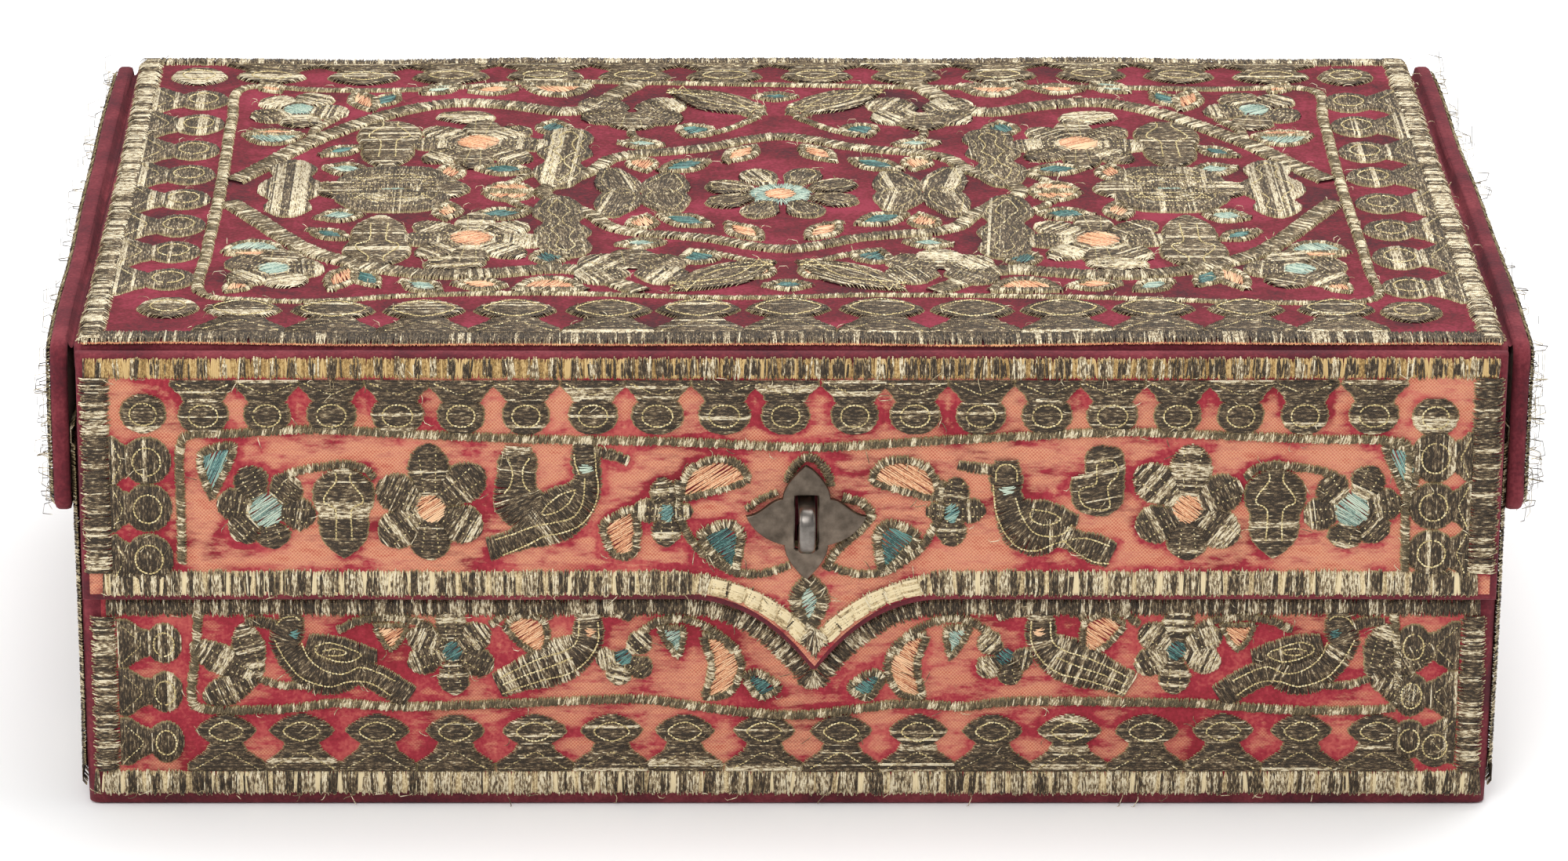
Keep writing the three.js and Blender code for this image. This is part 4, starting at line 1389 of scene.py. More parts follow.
def nap(piece: bpy.types.Object, left: float | list[float]) -> bpy.types.Object:
    """Sets how much of a velvet piece's pile is left, at each of its points or the same all over it.

    Args:
        piece: The piece.
        left: Share of the pile that is left.

    Returns:
        The same piece.
    """
    values = np.full(len(piece.data.vertices), left, np.float32)
    piece.data.attributes.new("pile", "FLOAT", "POINT").data.foreach_set("value", values)
    return piece


def without(piece: bpy.types.Object, low: Spot, high: Spot) -> None:
    """Opens a piece where it lies inside a box given in millimetres.

    Args:
        piece: The piece.
        low: The box's lowest corner.
        high: The box's highest corner.
    """
    bm = bmesh.new()
    bm.from_mesh(piece.data)
    inside = [f for f in bm.faces
              if all(low[i] * MM < f.calc_center_median()[i] < high[i] * MM for i in range(3))]
    bmesh.ops.delete(bm, geom=inside, context="FACES")
    bm.to_mesh(piece.data)
    bm.free()


def rectangle(left: float, right: float, low: float, high: float, radius: float) -> object:
    """Makes a function from an inset to the points round a rectangle with round corners.

    Args:
        left: Its left end.
        right: Its right end.
        low: Its lower end.
        high: Its upper end.
        radius: Radius of its corners.

    Returns:
        The function.
    """
    def outline(inset: float) -> np.ndarray:
        """The rectangle, inset.

        Args:
            inset: Distance inside the rectangle.

        Returns:
            The points.
        """
        r = max(radius - inset, 0.3)
        half = np.array([(right - left) / 2 - inset - r, (high - low) / 2 - inset - r])
        middle = np.array([(left + right) / 2, (low + high) / 2])
        points = []
        for quarter, (sx, sy) in enumerate([(1, 1), (-1, 1), (-1, -1), (1, -1)]):
            for step in range(5):
                angle = math.radians(quarter * 90 + step * 22.5)
                points.append(middle + half * (sx, sy) + r * np.array([math.cos(angle), math.sin(angle)]))
        corners = np.array(points)
        line = []
        for a, b in zip(corners, np.roll(corners, -1, 0)):
            count = 1 if np.linalg.norm(b - a) < 4 * max(radius, 1) else 48
            line.extend(a + (b - a) * i / count for i in range(count))
        return np.array(line)
    return outline


RIM_PILE = 0.6


def turned_edge(thickness: float) -> list[Point]:
    """Inset and height of the velvet turned round the edge of a flap's card, from its face to its back."""
    return [(3.0, -0.05), (1.4, -0.1), (0.5, -0.45), (0.06, -1.1), (0.0, -1.9), (0.0, -thickness * 0.7),
            (0.3, 0.3 - thickness), (1.4, -thickness)]


def rim(name: str, plane: Plane, outline: object, profile: list[Point], look: Look) -> bpy.types.Object:
    """A skin round an outline, as cloth that is turned over an edge.

    Args:
        name: Name of the piece.
        plane: Side that the outline lies on.
        outline: Function from an inset to the points round it.
        profile: Inset and height of each ring, from the outside of the piece inwards.
        look: Finish.

    Returns:
        The piece.
    """
    rings = np.array([np.vstack([ring, ring[:1]]) for ring in (outline(inset) for inset, _ in profile)])
    heights = np.array([h for _, h in profile])
    around = rings.shape[1] - 1

    def spots(s: np.ndarray, t: np.ndarray) -> np.ndarray:
        """A point of one of the rings.

        Args:
            s: Shares of the grid in its first direction.
            t: Shares of the grid in its second direction.

        Returns:
            Their places in metres.
        """
        i = np.rint(s * around).astype(int) % around
        k = np.rint(t * (len(profile) - 1)).astype(int)
        spot = rings[k, i]
        return plane.place(spot[:, 0], spot[:, 1], heights[k])

    piece = bent_grid(name, around, len(profile) - 1, spots, look)
    bm = bmesh.new()
    bm.from_mesh(piece.data)
    bmesh.ops.remove_doubles(bm, verts=bm.verts, dist=1e-6)
    bmesh.ops.recalc_face_normals(bm, faces=bm.faces)
    bm.to_mesh(piece.data)
    bm.free()
    piece.data.polygons.foreach_set("use_smooth", [True] * len(piece.data.polygons))
    return nap(piece, RIM_PILE)


def dress(node: str, look: Look) -> None:
    """Gives a solid that stays in view its finish.

    Args:
        node: The solid.
        look: Its finish.
    """
    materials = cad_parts[node].data.materials
    materials.clear()
    materials.append(look.material)


LINING_FACES = 12
LINING_CELL = 5


def turned_under(s: np.ndarray, t: np.ndarray) -> np.ndarray:
    """Height of a sheet of cloth that is glued down, from 1 in its middle to 0 at its edges."""
    return 1 - np.maximum(np.abs(2 * s - 1), np.abs(2 * t - 1)) ** 24


def quilt(name: str, plane: Plane, span: Point, rise: Point, thickness: float) -> bpy.types.Object:
    """A lining, glued down with its edges turned under.

    Args:
        name: Name of the piece.
        plane: Side that it lies on.
        span: Left and right end.
        rise: Lower and upper end.
        thickness: Height in its middle.

    Returns:
        The piece.
    """
    def spots(s: np.ndarray, t: np.ndarray) -> np.ndarray:
        """The sheet, with its height falling to nothing at its edges.

        Args:
            s: Shares of the grid in its first direction.
            t: Shares of the grid in its second direction.

        Returns:
            Their places in metres.
        """
        u = span[0] + s * (span[1] - span[0])
        v = rise[0] + t * (rise[1] - rise[0])
        return plane.place(u, v, thickness * turned_under(s, t))

    columns, rows = (max(LINING_FACES, int((end - start) / LINING_CELL)) for start, end in (span, rise))
    return bent_grid(name, columns, rows, spots, Look.LINING)


# Sub-assemblies


class Side(Enum):
    """The sides of the casket, with the directions that are right and out for someone who looks at each."""

    FRONT = ((1, 0, 0), (0, -1, 0))
    BACK = ((-1, 0, 0), (0, 1, 0))
    LEFT = ((0, -1, 0), (-1, 0, 0))
    RIGHT = ((0, 1, 0), (1, 0, 0))

    def plane(self, distance: float, sway: float) -> Plane:
        """The upright plane at a distance from the middle, with places measured from the underside."""
        right, out = self.value
        return Plane(tuple(c * distance for c in out), right, (0, 0, 1), sway)

    def behind(self, distance: float) -> Plane:
        """The same plane as seen from inside the casket, with left and right swapped."""
        right, out = self.value
        return Plane(tuple(c * distance for c in out), tuple(-c for c in right), (0, 0, 1), 0.15)


@dataclass
class LidTop:
    """The lid's velvet and its embroidery: a border row round a field that is the same in its quarters."""

    half_width: float = 180.15
    half_depth: float = 116.5
    corner: float = 3.0
    velvet_inset: float = 3.0
    velvet_cell: float = 1.8
    side_binding: float = 6.2
    back_binding: float = 5.0
    front_binding: float = 8.0
    cord: tuple[float, ...] = (2.4, 2.1, 2.1, 2.9, 3.0, 2.6, 2.6, 3.1, 3.2)
    motif_scale: float = 1.14
    field_seed: int = 11
    border_seed: int = 12
    # Metal thread on the lid's top is painted paler as its sheen, less so in the front row
    worn: float = 0.15
    front_row_sheen: float = 0.03
    border_ends: int = 260
    quarter_ends: int = 120
    middle_ends: int = 80

    def build(self) -> None:
        """Makes the velvet, the border and the field."""
        low, high = millimetres("lid_velvet")
        self.plane = Plane((0, 0, high[2]), (1, 0, 0), (0, 1, 0), 0.3)
        depth = high[2] - low[2]
        outline = rectangle(low[0], high[0], low[1], high[1], self.corner)
        edge = rim("lid_velvet_edge", self.plane, outline, [
            (4.0, 0.0), (1.6, -0.05), (0.6, -0.35), (0.12, -1.0), (0.0, -1.9), (0.0, -depth * 0.6),
            (0.0, 0.2 - depth), (0.8, -depth),
        ], Look.RUBBED)
        border = self.border()
        field = self.field()
        every = Bed(self.plane, 0)
        every.rows = border.rows + [row for bed in field.values() for row in bed.rows]
        edge_u, edge_v = self.half_width - self.velvet_inset, self.half_depth - self.velvet_inset
        top = ground("lid_velvet_top", self.plane, lambda u: -edge_v, lambda u: edge_v, (-edge_u, edge_u),
                     every, self.velvet_cell, Look.VELVET)
        finish_piece(edge, "lid", ("lid_velvet",))
        finish_piece(top, "lid")
        finish_piece(border.build("lid_border_thread"), "lid", ("lid_embroidery",))
        for name, bed in field.items():
            finish_piece(bed.build(f"lid_{name}_thread"), "lid")

    def border(self) -> Bed:
        """The edge binding, the row of lobes inside it and the cord that closes the row.

        Returns:
            The thread.
        """
        bed = Bed(self.plane, self.border_seed, self.worn)
        needle = Needle(bed)
        u, v = self.half_width - 4, self.half_depth
        for s, bright in ((-1, 0.6), (1, 0.5)):
            side = curve([(s * u, -v + 2), (s * (u - 0.6), 0), (s * u, v - 2)])
            bed.band(side, self.side_binding, paler(BINDING, bright))
        bed.band(curve([(-u, v - 3.4), (0, v - 3.4), (u, v - 3.4)]), self.back_binding, paler(BINDING, 0.25))
        needle.row((140, 111), (-142, 111), 12, (21, 12.5), 6, 1.6)
        needle.row((-173.3, 77), (-173.3, -70), 8, (16.5, 14.5), 7.5, 1.8)
        needle.row((173.3, -75), (173.3, 76), 8, (16.5, 14.5), 7.5, 1.8)
        for u_at, v_at, bright in ((-158, -91, 0.08), (158, -94, 0.08), (-162, 99, 0.7), (161, 99, 0.08)):
            needle.lobe((u_at, v_at), 16, 15, 1.8, 0.0, paler(LAID, bright))
        front = [(-150.5, -79), (-136, -84.5), (-118, -84.5), (-100, -81), (-78, -79.5), (-55, -79.5),
                 (-38, -80.8), (-18, -83), (0, -83.3), (20, -81.5), (45, -80.8), (70, -82), (95, -84.5),
                 (122, -86.5), (149, -84)]
        back = [(150, 88), (120, 88.5), (80, 89), (40, 90.5), (0, 92.5), (-30, 94.5), (-64, 95), (-84, 91),
                (-104, 88.5), (-128, 88.5), (-149, 89)]
        line = [*front, (150.6, -60), (150.2, 0), (151, 60), *back, (-150.6, 60), (-150.2, 0), (-150.8, -50)]
        bed.band(curve(line, closed=True), self.cord, replace(CORD, crown=0.85), closed=True, lean=0.25)
        # The front row of lobes and the front binding get less painted sheen
        bed.worn = self.front_row_sheen
        needle.row((-139, -108.6), (139, -108.6), 13, (21, 15.5), 9.8, 1.4, ring=0.76)
        bed.fray(self.border_ends)
        bed.band(curve([(-u - 2.6, -v + 4.2), (0, -v + 4.6), (u + 2.6, -v + 4.2)]), self.front_binding,
                 replace(BINDING, crown=1.0, ramp=3.4, bright=0.2))
        bed.band(np.array([(-u - 2, -v + 0.2), (u + 2, -v + 0.2)]), 1.0, replace(EDGING, crown=0.25))
        return bed

    def field(self) -> dict[str, Bed]:
        """The middle flower in its frame, and the four quarters round it, each in a bed of its own.

        Returns:
            The thread of each part by its name.
        """

        def behind(v: float) -> float:
            """A front quarter's height on a back quarter, which is drawn out towards the back."""
            return -v + 0.62 * max(0.0, -v - 50)

        beds = {}
        quarters = {"front_left": (None, None), "front_right": (0.0, None), "back_left": (None, behind),
                    "back_right": (0.0, behind)}
        for i, (name, (mirror, rows)) in enumerate(quarters.items()):
            beds[name] = Bed(self.plane, self.field_seed + 10 * i, self.worn)
            self.quarter(Needle(beds[name], mirror, rows, self.motif_scale))
            beds[name].fray(self.quarter_ends)
        beds["middle"] = Bed(self.plane, self.field_seed, self.worn)
        self.middle(Needle(beds["middle"]))
        beds["middle"].fray(self.middle_ends)
        return beds

    def middle(self, needle: Needle) -> None:
        """What lies on the lid's own middle lines.

        Args:
            needle: Draws its motifs.
        """
        frame_line = [(0, -46.5), (-9, -43.5), (-19, -37.5), (-30, -34), (-39, -32), (-46, -27), (-50, -19),
                      (-55.5, -12), (-61, -6)]
        left = frame_line + [(-64, 0)] + [(u, -v) for u, v in frame_line[::-1]]
        loop = left + [(-u, v) for u, v in left[-2:0:-1]]
        needle.bed.band(curve(loop, closed=True), 4.8, paler(STEM, 0.34), closed=True, lean=0.5)
        for i in range(8):
            turn = 22.5 + i * 45
            at = (15 * math.cos(math.radians(turn)), -1.5 + 14 * math.sin(math.radians(turn)))
            needle.plume(at, 13.5, 10.5, turn, PETAL, LAID, (0.35,))
        ring = oval(12.6, 12.2) + (-0.5, -2)
        needle.bed.band(ring, 4.4, SILKS[Look.SKY], closed=True)
        needle.bed.fill(oval(8.6, 8.4) + (-0.5, -2), 20, SILKS[Look.PEACH])
        for v in (-74.5, 82):
            needle.leaf((0, v), 13, 8, 0, Look.TEAL)
        for u in (-104, 104):
            self.wheel(needle, u)
        for u in (-131.5, 131.5):
            needle.plume((u, 3), 46, 17, 90, WAISTED, paler(SATIN, 0.62), (0.4,))
            needle.leaf((u - math.copysign(8, u), 5), 8, 5, 60, Look.PEACH, rim=1.4)

    def wheel(self, needle: Needle, u: float) -> None:
        """The round flower in the middle of a short side: broad half-rounds about a small core.

        Args:
            needle: Draws its parts.
            u: Place of its middle along the lid.
        """
        for turn, v in ((90, 11.5), (270, -7.5)):
            needle.plume((u, v), 17, 31, turn, (0.8, 1.0, 0.85, 0.5), LAID, (0.25, 0.5))
        for turn, away in ((0, 14), (180, -14)):
            needle.plume((u + away, 2), 13, 13, turn, PETAL, paler(LAID, 0.2), (0.3,))
        for turn in range(0, 360, 60):
            base = (u + 4.5 * math.cos(math.radians(turn)), 2 + 4.5 * math.sin(math.radians(turn)))
            needle.petal(base, 9.5, 9.5, turn, paler(SATIN, 0.4))
        needle.bed.fill(oval(6.4, 6.6) + (u, 2), 90, SILKS[Look.SKY])

    def quarter(self, needle: Needle) -> None:
        """One quarter of the field, drawn as the left one at the front.

        Args:
            needle: Draws its motifs.
        """
        needle.stem([(-147, -9), (-139, -23), (-130, -39), (-121, -50.5), (-107, -60), (-91, -65.5),
                     (-75, -64.5), (-60, -61), (-51, -63.5), (-44, -71.5), (-37.5, -78.5)], 6.2,
                    paler(STEM, 0.3))
        needle.stem([(-128, -44), (-127, -52), (-122, -58)], 3.0)
        needle.stem([(-74, -5), (-66, -15), (-58, -13)], 2.6)
        needle.stem([(-40, -56), (-40, -48), (-37, -43)], 2.4)
        needle.stem([(-22, -47), (-14, -52), (-6, -58)], 2.4)
        needle.plume((-16.5, -67), 30, 13.5, 38, LEAF, LAID, (0.3, 0.7))
        needle.leaf((-7, -62), 12, 8, 80, Look.PEACH, DROP)
        needle.leaf((-10.5, -31.5), 15, 8, -58, Look.PEACH)
        needle.leaf((-26, -22), 15, 8.5, -32, Look.TEAL)
        needle.leaf((-37, -22.5), 10, 8, 80, Look.PEACH, DROP, 1.7)
        needle.plume((-44, -8), 20, 11, 78, PETAL, LAID, (0.35,))
        needle.plume((-31, -6), 17, 12, 100, PETAL, LAID, (0.35,))
        needle.plume((-58.5, -28), 42, 13.5, 94, COLUMN, LAID, (0.3, 0.65))
        needle.leaf((-61.5, -52), 12, 9.5, 90, Look.TEAL)
        needle.flower((-82, -39), 18, 8, Look.PEACH, 5.2, 90, paler(SATIN, 0.42))
        needle.plume((-86, -57.5), 14, 9, 8, PETAL, paler(SATIN, 0.75), (0.4,))
        needle.leaf((-89, -16), 12.5, 7.5, 85, Look.PEACH)
        needle.leaf((-75, -18), 14, 8.5, 8, Look.TEAL)
        needle.half_moon((-73, -3.5), 12, 6.5, 180, Look.PEACH, 1.7)
        needle.tulip((-106.5, -39), 34, 15.5, 90)
        needle.leaf((-119.5, -34.5), 12, 7, -34, Look.TEAL)
        needle.leaf((-117.5, -19.5), 12, 9, 15, Look.SKY, rim=2.4)
        needle.half_moon((-138.5, -45), 14.5, 8.5, 0, Look.SKY)
        needle.leaf((-138.5, -50), 13, 4.6, 3, Look.PEACH, rim=1.2)
        needle.flower((-132.6, -62), 12.5, 5, Look.SKY, 3.8, 80, paler(SATIN, 0.25))
        needle.leaf((-141.4, -74.5), 9.5, 6.5, 58, Look.PEACH, rim=1.5)
        needle.leaf((-114.8, -67.5), 17, 8, 74, Look.PEACH)
        needle.leaf((-108.6, -68), 13, 7, 118, Look.TEAL, rim=1.6)
        needle.leaf((-94, -73.8), 12, 8, -38, Look.SKY)
        needle.half_moon((-61, -73.5), 17, 10, 0, Look.PEACH, 3.2)
        needle.leaf((-79, -73), 13, 8, -8, Look.PEACH)
        needle.leaf((-37.6, -40.6), 12, 7, 8, Look.SKY)
        needle.leaf((-23, -51), 10, 10, 110, Look.TEAL, DROP)
        needle.blossom((-40, -62), [(-28.5, -54), (-40, -48), (-51.5, -54), (-52.7, -68), (-27.3, -68)],
                       None, 2.0)


@dataclass(frozen=True)
class PointedEdge:
    """The dip to the front flap's point, as two curves that leave the straight edge level."""

    shift: float = 6.4
    half_width: float = 33.0
    depth: float = 20.0
    lean: float = 19.0

    def drop(self, u: float | np.ndarray) -> float | np.ndarray:
        """How far the edge lies below its straight part at u.

        Args:
            u: Places along the edge.

        Returns:
            The drop at each of them.
        """
        t = np.linspace(0, 1, 40)
        x = (1 - t) ** 2 * self.half_width + 2 * (1 - t) * t * (self.half_width - self.lean)
        return np.interp(np.abs(np.asarray(u) - self.shift), x[::-1], (self.depth * t ** 2)[::-1])

    def runs(self, start: float, end: float, limit: float) -> list[tuple[int, np.ndarray]]:
        """Places along the edge from its left end and from its right end to the point.

        Args:
            start: Distance from the point where each run starts.
            end: Distance from the point where it ends.
            limit: Distance from the flap's middle that no place passes.

        Returns:
            For each side its sign and the places.
        """
        away = np.concatenate([np.linspace(start, 40, 80), np.linspace(39, end, 60)])
        both = [(s, self.shift + s * away) for s in (-1, 1)]
        return [(s, u[np.abs(u) < limit]) for s, u in both]


@dataclass
class FrontFlap:
    """The front flap: velvet worn to its ground over a card, its embroidery and its lining."""

    edge_inset: float = 1.5
    point_inset: float = 2.3
    binding: float = 7.0
    point_binding: float = 5.0
    top_binding: float = 5.6
    top_line: float = 2.6
    side_binding: float = 7.2
    taper: Point = (26.0, 36.0)
    bare_reach: float = 27.0
    velvet_inset: float = 2.0
    velvet_cell: float = 1.3
    pile_left: tuple[float, ...] = (0.08, 0.08)
    loose_ends: int = 240
    opening: Point = (3.4, 7.6)
    mirror: float = 4.75
    seed: int = 21
    point: PointedEdge = PointedEdge()

    def edge(self, u: float | np.ndarray) -> float | np.ndarray:
        """Height of the flap's lower edge at u."""
        return self.low[2] + self.point.depth - self.point.drop(u)

    def outline(self, inset: float) -> np.ndarray:
        """Points round the flap, inset.

        Args:
            inset: Distance inside the flap's edge.

        Returns:
            The points.
        """
        half = self.high[0] - inset
        top = self.high[2] - inset
        # Closest together round the edge's point
        u = np.concatenate([np.linspace(-half, -27, 46), np.linspace(-26, 39, 56), np.linspace(40, half, 46)])
        line = np.stack([u, self.edge(u)], 1)
        lower = np.stack([u, beside(line, inset)[:, 1]], 1)
        side = np.linspace(0, 1, 12)[1:-1, None]
        right = np.array([half, lower[-1, 1]]) * (1 - side) + np.array([half, top]) * side
        upper = np.stack([u[::-1], np.full(len(u), top)], 1)
        left = np.array([-half, top]) * (1 - side) + np.array([-half, lower[0, 1]]) * side
        return np.vstack([lower, right, upper, left])

    def build(self) -> None:
        """Makes the velvet, the thread and the lining."""
        self.low, self.high = millimetres("front_flap_velvet")
        lock_low, lock_high = millimetres("escutcheon")
        thickness = self.high[1] - self.low[1]
        self.plane = Side.FRONT.plane(-self.low[1], 0.2)
        cover = rim("front_flap_velvet_edge", self.plane, self.outline, turned_edge(thickness), Look.RUBBED)
        bed = self.thread()
        inset = self.velvet_inset
        cloth = ground("front_flap_ground", self.plane, lambda u: self.edge(u) + inset,
                       lambda u: self.high[2] - inset, (-self.high[0] + inset, self.high[0] - inset), bed,
                       self.velvet_cell, Look.WORN, self.pile_left)
        lining = self.lining()
        middle = (lock_low + lock_high) / 2
        slot = np.array([self.opening[0], lock_high[1] - lock_low[1] + thickness, self.opening[1]])
        for piece in (cloth, lining):
            without(piece, middle - slot, middle + slot)
        finish_piece(cover, "front_flap", ("front_flap_velvet",))
        finish_piece(cloth, "front_flap")
        finish_piece(lining, "front_flap", ("front_flap_lining",))
        finish_piece(bed.build("front_flap_thread"), "front_flap",
                     ("front_flap_embroidery",))

    def low_lines(self) -> list[np.ndarray]:
        """Middle of the binding along the lower edge, from each side to the point.

        Returns:
            The two lines.
        """
        lines = []
        for s, u in self.point.runs(182, 0, 175.5):
            share = np.interp(np.abs(u - self.point.shift), self.taper, [0, 1])
            inset = self.point_inset + share * (self.edge_inset - self.point_inset)
            middle = inset + (self.point_binding + share * (self.binding - self.point_binding)) / 2
            line = np.stack([u, self.edge(u)], 1)
            path = line - s * (beside(line, 1.0) - line) * middle[:, None]
            lines.append(path[(path[:, 0] - self.point.shift) * s > 0.8])
        return lines

    def lining(self) -> bpy.types.Object:
        """The lining on the flap's inside, which faces the case.

        Returns:
            The piece.
        """
        low, high = millimetres("front_flap_lining")
        plane = Side.FRONT.behind(-low[1])

        def spots(s: np.ndarray, t: np.ndarray) -> np.ndarray:
            """A sheet between the flap's edges.

            Args:
                s: Shares of the grid in its first direction.
                t: Shares of the grid in its second direction.

            Returns:
                Their places in metres.
            """
            u = low[0] + s * (high[0] - low[0])
            lower = self.edge(-u) + 1.3
            height = (high[1] - low[1]) * turned_under(s, t) - 0.1
            return plane.place(u, lower + t * (high[2] - lower), height)

        return bent_grid("front_flap_lining_cloth", 130, 40, spots, Look.LINING)

    def thread(self) -> Bed:
        """All of the flap's thread.

        Returns:
            The thread.
        """
        bed = Bed(self.plane, self.seed)
        needle = Needle(bed)
        half, top = self.high[0] - 1, self.high[2] - 1

        def worn_top(p: Point) -> float:
            """The top binding is left in clumps on the left, and fuller to the right.

            Args:
                p: Place of a stitch.

            Returns:
                The share of stitches that are missing there.
            """
            clump = math.sin(p[0] * 1.28 + 1.6 * math.sin(p[0] / 7))
            kept = np.interp(p[0], [-175, -70, -40, 60, 150], [-0.3, 0.0, 0.8, 0.75, 0.5])
            return 0.96 if clump > kept else 0.1

        def worn_low(p: Point) -> float:
            """The lower binding is nearly gone at the point, and open in short stretches.

            Args:
                p: Place of a stitch.

            Returns:
                The share of stitches that are missing there.
            """
            if abs(p[0] - self.point.shift) < self.bare_reach:
                return 0.92 if math.sin(p[0] * 1.9) < 0.55 else 0.45
            return 0.93 if math.sin(p[0] * 0.97 + 1.4 * math.sin(p[0] / 8)) > 0.78 else 0.03

        v = top - self.top_line
        bed.band(np.array([(1.5 - half, v), (half - 1.5, v)]), self.top_binding - 0.3,
                 replace(PADDING, look=Look.SOILED))
        bed.band(np.array([(-half + 1, v), (half - 1, v)]), self.top_binding, paler(BINDING, 0.3),
                 bare=worn_top)
        for line in self.low_lines():
            away = np.abs(np.linspace(line[0, 0], line[-1, 0], 15) - self.point.shift)
            widths = tuple(np.interp(away, self.taper, [self.point_binding, self.binding]))
            bed.band(line, tuple(w - 0.5 for w in widths), PADDING)
            bare = line[np.abs(line[:, 0] - self.point.shift) < self.bare_reach]
            for offset in np.linspace(-1.9, 1.9, 7):
                bed.couch(beside(bare, offset), lay=STRANDS, lift=0.72, part=0.9)
            bed.band(line, widths, paler(BINDING, 0.5), bare=worn_low)
        steep = math.cos(math.radians(55))
        inner = self.edge(self.point.shift) + (self.point_inset + self.point_binding) / steep
        bed.fan((self.point.shift, inner), self.point_binding, 215, 325, paler(BINDING, 0.8), mitred=True)
        side = half - self.side_binding / 2
        for u in (-side, side):
            line = np.array([(u, top - 5), (u, self.edge(half) + 8)])
            bed.band(line, self.side_binding, paler(BINDING, 0.4))
        needle.row((145.5, 119), (-147.5, 119), 19, (12.8, 10.4), 4.4, 2.1, 0.6)
        for at in ((-162.5, 110.5), (161.5, 109.5)):
            needle.lobe(at, 12, 10.5, 2.0)
        needle.row((-171, 97.5), (-171, 71.5), 3, (13.4, 12.4), 3.6, 2.0, 0.6)
        needle.row((171, 72.5), (171, 99), 3, (13.4, 12.4), 3.6, 2.0, 0.6)
        cord = [(-153.8, 70), (-153.6, 85), (-153.6, 100), (-151, 104.6), (-140, 105), (-120, 106),
                (-95, 104.8), (-60, 103.4), (-30, 102.8), (0, 101.4), (14, 101.6), (32, 102.8), (60, 104.4),
                (82, 105.5), (104, 104.8), (130, 103.5), (151, 103), (155.2, 100), (155, 85), (155.6, 68)]
        bed.band(curve(cord), 2.5, CORD, lean=0.3)
        for mirror in (None, self.mirror):
            self.half(Needle(bed, mirror))
        needle.silk([(4.7, 67.1), (-0.2, 60), (4.9, 50.4), (10.1, 60)], Look.SKY, 3.7)
        needle.stem([(-0.9, 92), (0.6, 95.8), (4.3, 98.8), (8.3, 96), (10.4, 91)], 2.4)
        needle.stem([(13, 87.9), (18.2, 86.2), (20.4, 83), (18, 79.4), (15, 76.4), (11.1, 72.5),
                     (9.2, 68.3)], 2.6)
        needle.stem([(-11.2, 84.6), (-7, 87.6), (-3.2, 89.2)], 2.0)
        needle.bird((-51.8, 99.5), PERCHED)
        needle.silk([(-38.7, 85.2), (-47.7, 81.6), (-47.8, 76.9), (-44.7, 71), (-38.3, 72.6)], Look.PEACH,
                    2.5)
        needle.bird((54.2, 93.7), ROOSTING, False)
        heart = [(79.5, 101.8), (83.4, 100.4), (84.1, 93.7), (83.8, 86.7), (80.3, 83.3), (75.7, 83.1),
                 (71.4, 85.2), (70.4, 89.8), (70.6, 93.3), (73.8, 94.6), (73.7, 99.3), (76.5, 101.8)]
        inside = [(77, 97.2), (76.8, 91.9), (72.6, 90.3), (74, 85.8), (80.2, 85.2), (79.7, 91.2),
                  (82.3, 94.4), (81.2, 98)]
        bed.fill(curve(heart, closed=True), 12, LAID)
        bed.couch(curve(inside, closed=True), closed=True, lift=LAID.crown)
        bed.fray(self.loose_ends)
        return bed

    def half(self, needle: Needle) -> None:
        """One half of the field apart from its bird, drawn as the left one.

        Args:
            needle: Draws its motifs.
        """
        needle.stem([(-127.5, 93.7), (-123.4, 95), (-116.4, 96.1), (-112.3, 96.6), (-107.3, 95.5),
                     (-104.9, 92.8)], 2.4)
        needle.stem([(-28.3, 92.6), (-28.2, 84.2), (-26.3, 78.5), (-23, 73.5), (-17.7, 69.3), (-12.4, 67.1),
                     (-6.5, 67.1), (0.1, 69.3)], 2.4)
        needle.silk([(-149.3, 99.7), (-139.1, 102.4), (-142.3, 92.8), (-146.3, 87)], Look.BLUE, 2.4, 65)
        needle.blossom((-132.2, 84.4), [(-137.6, 95.8), (-124.4, 92.8), (-119.9, 82.6), (-129.6, 74.2),
                                        (-140.6, 77), (-144.4, 86.6)], Look.SKY, 4.4, paler(SATIN, 0.16),
                       1.1)
        needle.tulip((-112.6, 83.4), 24, 15.6, -90)
        needle.blossom((-90.6, 85), [(-91.4, 102), (-77.6, 95.5), (-78.3, 78.2), (-91, 71.1), (-103.1, 76),
                                     (-103.9, 91.2)], Look.PEACH, 3.8, paler(SATIN, 0.4))
        core = (-31.2, 83.8)
        for end, width in (((-32.5, 93), 7.3), ((-31.2, 74.6), 8), ((-39.6, 84.4), 7), ((-24.6, 84), 5.4)):
            turn = math.degrees(math.atan2(end[1] - core[1], end[0] - core[0]))
            needle.petal(core, math.dist(end, core), width, turn, paler(SATIN, 0.25))
        needle.bed.fill(needle.shape(oval(3.6, 5.2), core), 30, SILKS[Look.BLUE], 0.85)
        needle.silk([(-28.2, 87), (-26.6, 95.2), (-19.8, 99), (-12.6, 97.6), (-10.2, 91.9), (-19, 88.4)],
                    Look.PEACH, 2.4)
        needle.silk([(-23.9, 77.1), (-19, 81), (-15.1, 81.8), (-11.4, 78.6), (-11.8, 72.1), (-13.7, 66),
                     (-18.5, 69.6)], Look.TEAL, 2.8)


